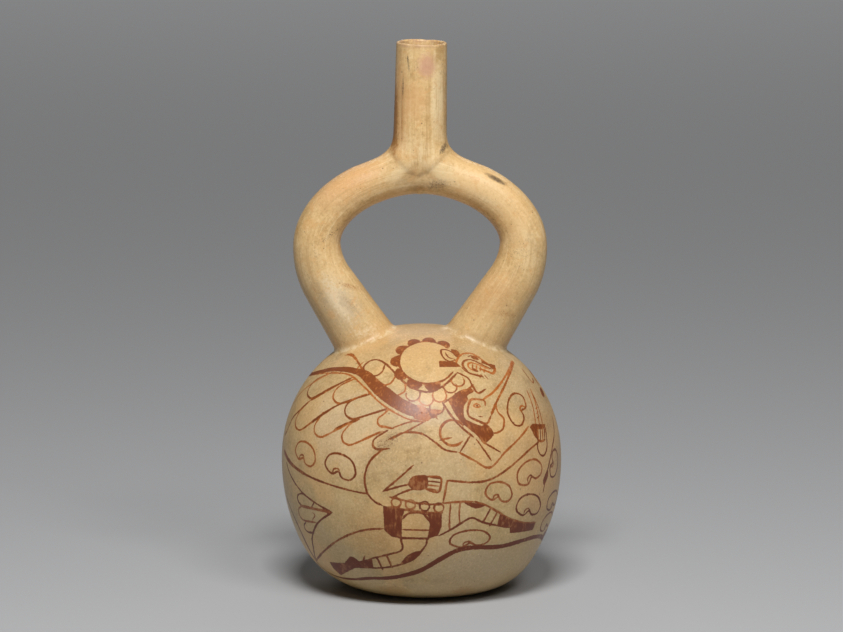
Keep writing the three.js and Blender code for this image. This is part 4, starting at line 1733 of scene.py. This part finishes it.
# %% Thin paint: a ragged edge, and hairs of the brush worn through
paint_group, given, gives = group(
    "worn paint", (("Distance", "Float"), ("Load", "Float"), ("Place", "Vector")),
    (("Mask", "Float"), ("Colour", "Color")))
ragged = maths(paint_group, "SUBTRACT", noise(paint_group, given["Place"], 900.0, 3.0, 0.6), 0.5)
edge = maths(paint_group, "ADD", given["Distance"], times(paint_group, ragged, 0.7))
inside = ramp(paint_group, edge, 0.13, -0.17)
hairs = noise(paint_group, stretched(paint_group, given["Place"], (1.0, 1.0, 0.16)), 900.0, 3.0, 0.6)
rubbed_and_sheen = noise(paint_group, given["Place"], 190.0, 5.0, 0.7)
worn = weighed(paint_group, (rubbed_and_sheen, 0.6), (hairs, 0.4))
thick = maths(paint_group, "ADD", ramp(paint_group, worn, 0.38, 0.54), 0.6)
laden = maths(paint_group, "MULTIPLY", thick, given["Load"], clamp=True)
cover = maths(paint_group, "ADD", times(paint_group, laden, 0.40), 0.58)

# the wash is a lighter, warmer red in the upper half of the ball than low down
height = put(paint_group, "SeparateXYZ", {"Vector": given["Place"]}).outputs["Z"]
higher = ramp(paint_group, height, 0.045, 0.115)
thin_wash = blend(paint_group, higher, (0.29, 0.078, 0.018, 1), (0.45, 0.125, 0.018, 1))
full_wash = blend(paint_group, higher, (0.145, 0.024, 0.005, 1), (0.22, 0.055, 0.012, 1))
deep = ramp(paint_group, times(paint_group, worn, given["Load"]), 0.30, 0.54)
wash = blend(paint_group, deep, thin_wash, full_wash)
give(paint_group, gives, Mask=times(paint_group, inside, cover), Colour=wash)

# %% A patch that fades at a ragged edge, for stains and for painted highlights and shade
stain_and_light_group, given, gives = group(
    "stain", (("Place", "Vector"), ("Middle", "Vector"), ("Turn", "Float"), ("Reach", "Vector"),
              ("Ragged", "Float"), ("Grain", "Float")), (("Mask", "Float"),))
off = put(stain_and_light_group, "VectorMath", {0: given["Place"], 1: given["Middle"]}, operation="SUBTRACT").outputs[0]
off = put(stain_and_light_group, "VectorRotate", {"Vector": off, "Angle": given["Turn"]},
          rotation_type="Y_AXIS").outputs[0]
off = put(stain_and_light_group, "VectorMath", {0: off, 1: given["Reach"]}, operation="DIVIDE").outputs[0]
out_by = put(stain_and_light_group, "VectorMath", {0: off}, operation="LENGTH").outputs["Value"]
torn = maths(stain_and_light_group, "SUBTRACT", noise(stain_and_light_group, given["Place"], 650.0, 4.0, 0.65), 0.5)
out_by = maths(stain_and_light_group, "ADD", out_by, times(stain_and_light_group, torn, given["Ragged"]))
dots = ramp(stain_and_light_group, noise(stain_and_light_group, given["Place"], 1500.0, 3.0, 0.7), 0.50, 0.62)
gaps = times(stain_and_light_group, given["Grain"], maths(stain_and_light_group, "SUBTRACT", 1.0, dots))
fading = ramp(stain_and_light_group, out_by, 1.15, 0.35)
give(stain_and_light_group, gives, Mask=times(stain_and_light_group, fading, maths(stain_and_light_group, "SUBTRACT", 1.0, gaps)))

# %% [markdown]
# ## Tints, stains, painted highlights and painted shade
# Old clay is never one colour: the fire left warm and ashy places in the slip, and the ground left
# rust, soot and chalk on top. Some entries are light and shade painted into the colour instead: the
# pale patches on the right arm, on its bend, right of the spout and on both sides of the V are painted
# highlights, the shade in and under the V is painted shade, and the rosy tint at the ball's right is
# painted shade on a redder slip. They could be strewn by noise alone, but on a real vessel each has its
# own place. So they stand in lists, each with a name, its middle in millimetres, its slope in
# degrees down to the right, how far it reaches along X, Y and Z, how ragged its edge is, how much
# it is broken into dots, its colour and its strength. Tints lie under the painting, stains over it.

# %% The tints under the painting, with painted highlights on the right of the arch
BLUSH = (0.67, 0.37, 0.155, 1)
# painted highlight: this pale colour lays highlights on the right arm, its bend, right of the spout and
# beside the V
HIGHLIGHT_CREAM = (0.88, 0.69, 0.40, 1)
ASH = (0.60, 0.49, 0.335, 1)
ARCH_TINTS_AND_HIGHLIGHTS = [
    ("warm down the spout's left", (-12, -7, 250), 0, (7, 12, 32), 1.0, 0, BLUSH, 0.75),
    ("blush on the left arm", (-38, -6, 213), -32, (27, 14, 14), 1.0, 0, BLUSH, 0.85),
    ("ash on the left foot", (-41, -12, 149), 57, (17, 14, 11), 1.2, 0, ASH, 0.8),
    ("warm on the right foot", (36, -9, 153), -45, (20, 14, 12), 1.0, 0, BLUSH, 0.7),
    # painted highlights along the right arm, on its bend and right of the spout
    ("pale along the right arm", (31, -9, 209), 36, (25, 12, 9), 1.2, 0, HIGHLIGHT_CREAM, 0.6),
    ("pale on the right bend", (53, -8, 182), 80, (20, 12, 8), 1.2, 0, HIGHLIGHT_CREAM, 0.4),
    ("pale right of the spout", (8.5, -9, 254), 0, (5, 9, 24), 1.0, 0, HIGHLIGHT_CREAM, 0.7),
]
BALL_TINTS = [
    ("warm about the loincloth", (-10, -70, 40), 0, (36, 40, 24), 1.0, 0, (0.57, 0.31, 0.11, 1), 0.5),
    ("pale by the feathers", (-42, -55, 92), 20, (32, 34, 24), 1.0, 0, (0.72, 0.52, 0.31, 1), 0.5),
    # darker and redder at the ball's right side: a redder slip, and painted shade on that side
    ("rosy at the right", (62, -32, 72), 0, (22, 44, 46), 1.0, 0, (0.49, 0.275, 0.135, 1), 0.5),
    ("grey low on the right", (34, -58, 20), 15, (30, 24, 15), 1.4, 0, (0.50, 0.40, 0.275, 1), 0.5),
    ("rosy over the arm", (34, -58, 86), 0, (26, 24, 22), 1.2, 0, (0.66, 0.42, 0.205, 1), 0.4),
]
print("tints:", len(ARCH_TINTS_AND_HIGHLIGHTS), "on the arch,", len(BALL_TINTS), "on the ball")

# %% The stains over the painting, with painted shade in and under the V and painted highlights beside it
RUST = (0.37, 0.165, 0.045, 1)
ROSE = (0.60, 0.32, 0.215, 1)
SOOT = (0.075, 0.05, 0.035, 1)
# earth stains, and also the painted shade in and under the V
EARTH_AND_SHADE = (0.19, 0.10, 0.045, 1)
CHALK = (0.81, 0.65, 0.425, 1)
STAINS_AND_PAINTED_LIGHT = [
    ("rust down the neck", (-13.8, -3, 245), 0, (2.6, 11, 23), 1.2, 0, RUST, 0.95),
    ("rust at its foot", (-14, -4, 232), 0, (2.8, 9, 9), 1.6, 0.3, RUST, 0.8),
    ("line beside it", (-10.0, -9, 248), 0, (0.7, 7, 17), 1.0, 0.3, RUST, 0.7),
    ("rose patch", (2.7, -13, 272), 0, (5.6, 8, 7.6), 1.0, 0, ROSE, 0.7),
    ("blush on the neck", (-4, -13, 254.5), 0, (8, 9, 12), 1.2, 0, BLUSH, 0.5),
    ("scratch on the neck", (-9.4, -9, 261), 1, (0.5, 5, 6.5), 0.9, 0.6, SOOT, 1.0),
    ("nick on the neck", (-6.7, -11, 273.4), -6, (0.7, 5, 4.6), 1.8, 0.6, SOOT, 0.9),
    ("soot by the joint", (11.4, -8, 229.5), 35, (1.6, 6, 5), 2.2, 0.4, SOOT, 1.0),
    ("earth under the joint", (8.5, -9, 211), -8, (6.6, 7, 2.8), 2.0, 0.6, EARTH_AND_SHADE, 0.95),
    # painted shade in the V and under its tip, where the spout's foot turns under
    ("shade in the V", (-1.6, -11, 218.4), 0, (9, 8, 5.5), 1.2, 0.2, EARTH_AND_SHADE, 0.16),
    ("shade under the V", (-2, -11, 211.5), 0, (12, 8, 5.5), 1.2, 0.1, EARTH_AND_SHADE, 0.3),
    # painted highlights on both sides of the V
    ("pale beside the V", (11, -11, 216.5), 36, (11, 8, 5), 1.0, 0, HIGHLIGHT_CREAM, 0.42),
    ("pale left of the V", (-12, -11, 217), -35, (8, 8, 3), 1.0, 0, HIGHLIGHT_CREAM, 0.35),
    ("dash on the right arm", (38.2, -8, 213.2), 29, (7.4, 6, 1.3), 0.9, 0.2, SOOT, 0.95),
    ("specks on the left arm", (-47, -9, 184.5), -35, (9, 8, 1.6), 2.2, 1.0, EARTH_AND_SHADE, 0.8),
    ("specks lower on it", (-54, -8, 173), 78, (9, 8, 1.4), 2.4, 1.0, EARTH_AND_SHADE, 0.6),
    ("chalk on the left foot", (-42, -12, 151), 57, (14, 12, 5), 1.8, 0.3, CHALK, 0.8),
    ("chalk on the left joint", (-26, -24, 137), -18, (15, 12, 4.5), 1.8, 0.2, CHALK, 0.85),
    ("grey on the left foot", (-38, -12, 150), 50, (9, 8, 3.5), 2.0, 0.5, EARTH_AND_SHADE, 0.5),
    ("grey above it", (-53, -9, 157), 57, (12, 8, 3.2), 2.0, 0.4, EARTH_AND_SHADE, 0.3),
    ("brown in the right joint", (21, -24, 136), 25, (9, 8, 2.2), 2.0, 0.7, RUST, 0.7),
    ("spots on the right foot", (43, -10, 144.5), 10, (6, 8, 2), 2.5, 0.7, RUST, 0.7),
    ("trail on the left arm", (-36, -9, 158), 22, (10, 8, 1.3), 1.6, 0.8, RUST, 0.95),
    ("brown on the right foot", (37, -8, 152), -30, (18, 12, 8), 1.6, 0.4, RUST, 0.25),
    ("specks on the right arm", (50, -8, 176), 10, (9, 8, 9), 2.4, 1.0, EARTH_AND_SHADE, 0.4),
    ("smudge by the feathers", (-17.5, -66, 88), -38, (9, 8, 3.6), 2.6, 0.8, EARTH_AND_SHADE, 0.95),
    ("earth on the right crown", (22, -30, 127), 22, (14, 12, 3), 2.4, 1.0, EARTH_AND_SHADE, 0.5),
    ("stain at the base", (-14, -46, 7), 0, (9, 9, 5), 1.8, 0.3, RUST, 0.5),
    ("second at the base", (21, -45, 6), 0, (7, 9, 4), 1.8, 0.3, RUST, 0.5),
    ("stain behind", (24, 60, 96), 20, (16, 12, 9), 2.0, 0.3, RUST, 0.35),
    ("earth behind", (-30, 55, 40), -15, (14, 12, 8), 2.4, 0.6, EARTH_AND_SHADE, 0.4),
]

print("stains:", len(STAINS_AND_PAINTED_LIGHT))


# %% The material begins with what the mesh remembers
def kept(tree, name, kind="Fac"):
    return put(tree, "Attribute", attribute_name=name).outputs[kind]


def laid_stains_and_light(tree, tone, where, stains):
    """The tone with a list of tints, stains, painted highlights and painted shade laid over it, one after the
    other.
    """
    for _, middle, slope, reach, ragged, broken, colour, strength in stains:
        mask = use(tree, stain_and_light_group, Place=where, Middle=[v * MM for v in middle],
                   Turn=math.radians(-slope), Reach=[v * MM for v in reach], Ragged=ragged, Grain=broken)
        tone = laid(tree, tone, mask["Mask"], strength, colour)
    return tone


slipped = bpy.data.materials.new("slipped_clay")
slipped.use_nodes = True
tree = slipped.node_tree
tree.nodes.clear()
where = put(tree, "TexCoord").outputs["Object"]
high = put(tree, "SeparateXYZ", {"Vector": where}).outputs["Z"]
arch = kept(tree, "arch_share")
hollow = kept(tree, "hollow_share")
print("nodes that read the mesh:", len(tree.nodes))

# %% The arch's slip, with its tints, painted highlights and the stone's streaks
STREAK_SHADE = (0.52, 0.31, 0.12, 1)
STREAK_SHINE = (0.90, 0.69, 0.39, 1)
arch_tone = use(tree, cloud_group, Place=where, Pale=(0.81, 0.575, 0.295, 1), Middle=(0.71, 0.47, 0.208, 1),
                Dark=(0.52, 0.32, 0.125, 1))
streaks = use(tree, streak_group, Along=kept(tree, "grain", "Vector"), Width=0.42)
arch_colour = laid_stains_and_light(tree, arch_tone["Colour"], where, ARCH_TINTS_AND_HIGHLIGHTS)
arch_colour = laid(tree, arch_colour, ramp(tree, streaks["Streak"], 0.48, 0.37), 0.65, STREAK_SHADE)
arch_colour = laid(tree, arch_colour, ramp(tree, streaks["Streak"], 0.52, 0.66), 0.55, STREAK_SHINE)
print("with the arch's slip:", len(tree.nodes), "nodes")

# %% The ball's slip, greyer low down, and a darker tan round the crown that is partly painted shade under the arch
BASE_GREY = (0.48, 0.37, 0.175, 1)
CROWN_TAN_AND_SHADE = (0.45, 0.275, 0.115, 1)
ball_tone = use(tree, cloud_group, Place=where, Pale=(0.63, 0.435, 0.208, 1), Middle=(0.55, 0.362, 0.160, 1),
                Dark=(0.40, 0.255, 0.105, 1))
ball_colour = laid(tree, ball_tone["Colour"], ramp(tree, high, 0.095, 0.02), 0.40, BASE_GREY)
# darker round the crown between the arms: the slip's tan, and painted shade under the arch and on the top
ball_colour = laid(tree, ball_colour, ramp(tree, high, 0.119, 0.134), 0.7, CROWN_TAN_AND_SHADE)
ball_colour = laid_stains_and_light(tree, ball_colour, where, BALL_TINTS)
tone = blend(tree, arch, ball_colour, arch_colour)
print("with the ball's slip:", len(tree.nodes), "nodes")

# %% Broad changes of hue over all of it, and painted shade low on the arms
GREEN_GREY = (0.53, 0.39, 0.22, 1)
WARM = (0.70, 0.43, 0.18, 1)
LOW_ARM_TAN_AND_SHADE = (0.53, 0.36, 0.165, 1)
FLUSH = (0.66, 0.36, 0.13, 1)
hue = noise(tree, where, 21.0, 3.0, 0.55, 0.5)
greyest = maths(tree, "SUBTRACT", 0.45, times(tree, arch, 0.27))
tone = laid(tree, tone, ramp(tree, hue, 0.50, 0.62), greyest, GREEN_GREY)
tone = laid(tree, tone, ramp(tree, hue, 0.49, 0.38), 0.55, WARM)
# darker tan low on the arms: a tan slip, and painted shade where the light falls off lower down
tone = laid(tree, tone, ramp(tree, high, 0.190, 0.142), times(tree, arch, 0.5), LOW_ARM_TAN_AND_SHADE)
flush = ramp(tree, noise(tree, where, 170.0, 4.0, 0.6, 0.6), 0.52, 0.68)
tone = laid(tree, tone, flush, maths(tree, "ADD", 0.12, times(tree, arch, 0.38)), FLUSH)
print("with the changes of hue:", len(tree.nodes), "nodes")

# %% Fine sand and specks
SAND_DARK = (0.28, 0.175, 0.08, 1)
SAND_PALE = (0.84, 0.65, 0.38, 1)
SPECK = (0.22, 0.115, 0.05, 1)
BIG_SPECK = (0.17, 0.085, 0.04, 1)
sand = noise(tree, where, 950.0, 4.0, 0.75)
sandy = maths(tree, "SUBTRACT", 0.30, times(tree, arch, 0.07))
tone = laid(tree, tone, ramp(tree, sand, 0.52, 0.66), sandy, SAND_DARK)
tone = laid(tree, tone, ramp(tree, sand, 0.47, 0.36), sandy, SAND_PALE)
specks = use(tree, speck_group, Place=where, Spacing=480.0, Share=0.16)["Mask"]
big_specks = use(tree, speck_group, Place=where, Spacing=300.0, Share=0.08)["Mask"]
tone = laid(tree, tone, specks, 0.7, SPECK)
tone = laid(tree, tone, big_specks, 0.7, BIG_SPECK)
print("with sand and specks:", len(tree.nodes), "nodes")

# %% The painting, then the wear, the pale seam with its painted highlight, the painted shade in the V, and the stains over it
RIDGE_PALE_AND_HIGHLIGHT = (0.76, 0.60, 0.37, 1)
LIP_BROWN = (0.46, 0.27, 0.15, 1)
CREASE_SHADE = (0.36, 0.22, 0.10, 1)
wash = use(tree, paint_group, Distance=kept(tree, "paint"), Load=kept(tree, "load"), Place=where)
tone = blend(tree, wash["Mask"], tone, wash["Colour"])
# a pale line round the arms' feet: the scraped seam where they were pressed on, and a painted highlight along
# its fillet
rubbed_and_sheen = ramp(tree, noise(tree, where, 240.0, 4.0, 0.65), 0.42, 0.60)
tone = laid(tree, tone, times(tree, kept(tree, "foot_crease"), rubbed_and_sheen), 0.75, RIDGE_PALE_AND_HIGHLIGHT)
chafed = ramp(tree, noise(tree, where, 420.0, 4.0, 0.7), 0.38, 0.56)
tone = laid(tree, tone, times(tree, ramp(tree, high, 0.2803, 0.2822), chafed), 0.7, LIP_BROWN)
# painted shade along the V where the spout was pressed on
tone = laid(tree, tone, kept(tree, "neck_crease"), 0.2, CREASE_SHADE)
tone = laid_stains_and_light(tree, tone, where, STAINS_AND_PAINTED_LIGHT)
print("with painting and stains:", len(tree.nodes), "nodes")

# %% The bare inside, the fine relief and the dull shine
bare = use(tree, cloud_group, Place=where, Pale=(0.30, 0.19, 0.10, 1), Middle=(0.22, 0.13, 0.07, 1),
           Dark=(0.13, 0.075, 0.04, 1))
tone = blend(tree, hollow, tone, bare["Colour"])
pores = noise(tree, where, 1400.0, 3.0, 0.6)
relief = weighed(tree, (pores, 0.25), (streaks["Height"], times(tree, arch, 1.2)), (ball_tone["Cloud"], 0.8),
                 (big_specks, -0.5))
bumped = put(tree, "Bump", {"Strength": 0.35, "Distance": 0.0005, "Height": relief}).outputs["Normal"]
dull = maths(tree, "ADD", 0.25, weighed(tree, (ball_tone["Cloud"], 0.30), (hollow, 0.3)))
skin = put(tree, "BsdfPrincipled", {"Base Color": tone, "Roughness": dull, "Normal": bumped, "IOR": 1.45,
                                    "Specular IOR Level": 0.42})
put(tree, "OutputMaterial", {"Surface": skin.outputs["BSDF"]})
mesh.materials.append(slipped)
print("nodes in the whole material:", len(tree.nodes))

# %% [markdown]
# ## Floor and light
# The photograph has one soft light straight in front and well above, and dim surroundings, so the
# ball falls into shadow at its sides. A weaker light from the right keeps that side a little
# brighter, and a wide one far behind lifts the top of the background. A bright studio all round
# would flatten it.

# %% The floor
FLOOR_SIDE = 7.0
FLOOR_BACK = 9.0
corners = [(-FLOOR_SIDE, -FLOOR_SIDE, 0), (FLOOR_SIDE, -FLOOR_SIDE, 0),
           (FLOOR_SIDE, FLOOR_BACK, 0), (-FLOOR_SIDE, FLOOR_BACK, 0)]
floor_mesh = bpy.data.meshes.new("floor")
floor_mesh.from_pydata(corners, [], [(0, 1, 2, 3)])
floor = bpy.data.objects.new("floor", floor_mesh)
bpy.context.scene.collection.objects.link(floor)
pale = bpy.data.materials.new("pale_floor")
pale.use_nodes = True
paper = pale.node_tree.nodes["Principled BSDF"].inputs
paper["Base Color"].default_value = (0.42, 0.423, 0.43, 1)
paper["Roughness"].default_value = 0.85
paper["Specular IOR Level"].default_value = 0.1
floor_mesh.materials.append(pale)
print("floor:", 2 * FLOOR_SIDE, "by", FLOOR_SIDE + FLOOR_BACK, "metres")

# %% The lights
scene = bpy.context.scene
scene.view_settings.view_transform = "Standard"
world = bpy.data.worlds.new("studio")
scene.world = world
world.use_nodes = True
dim = world.node_tree.nodes["Background"].inputs
dim["Color"].default_value = (1.0, 1.0, 1.0, 1)
dim["Strength"].default_value = 0.045


def soft_light(name, place, aim, size, watts):
    lamp = bpy.data.lights.new(name, "AREA")
    lamp.shape = "RECTANGLE"
    lamp.size, lamp.size_y = size
    lamp.energy = watts
    light = bpy.data.objects.new(name, lamp)
    light.location = place
    light.rotation_euler = (Vector(aim) - Vector(place)).to_track_quat("-Z", "Y").to_euler()
    scene.collection.objects.link(light)
    print(name, "light:", watts, "watts from", round((Vector(aim) - Vector(place)).length, 2), "metres")


soft_light("key", (-0.05, -0.99, 1.50), (0, 0, 0.12), (0.5, 0.4), 28)
soft_light("right", (0.60, -1.04, 1.32), (0, 0, 0.12), (0.5, 0.4), 7)
soft_light("backdrop", (0.0, 3.4, 2.2), (0, 3.1, 0.0), (4.0, 1.0), 36)
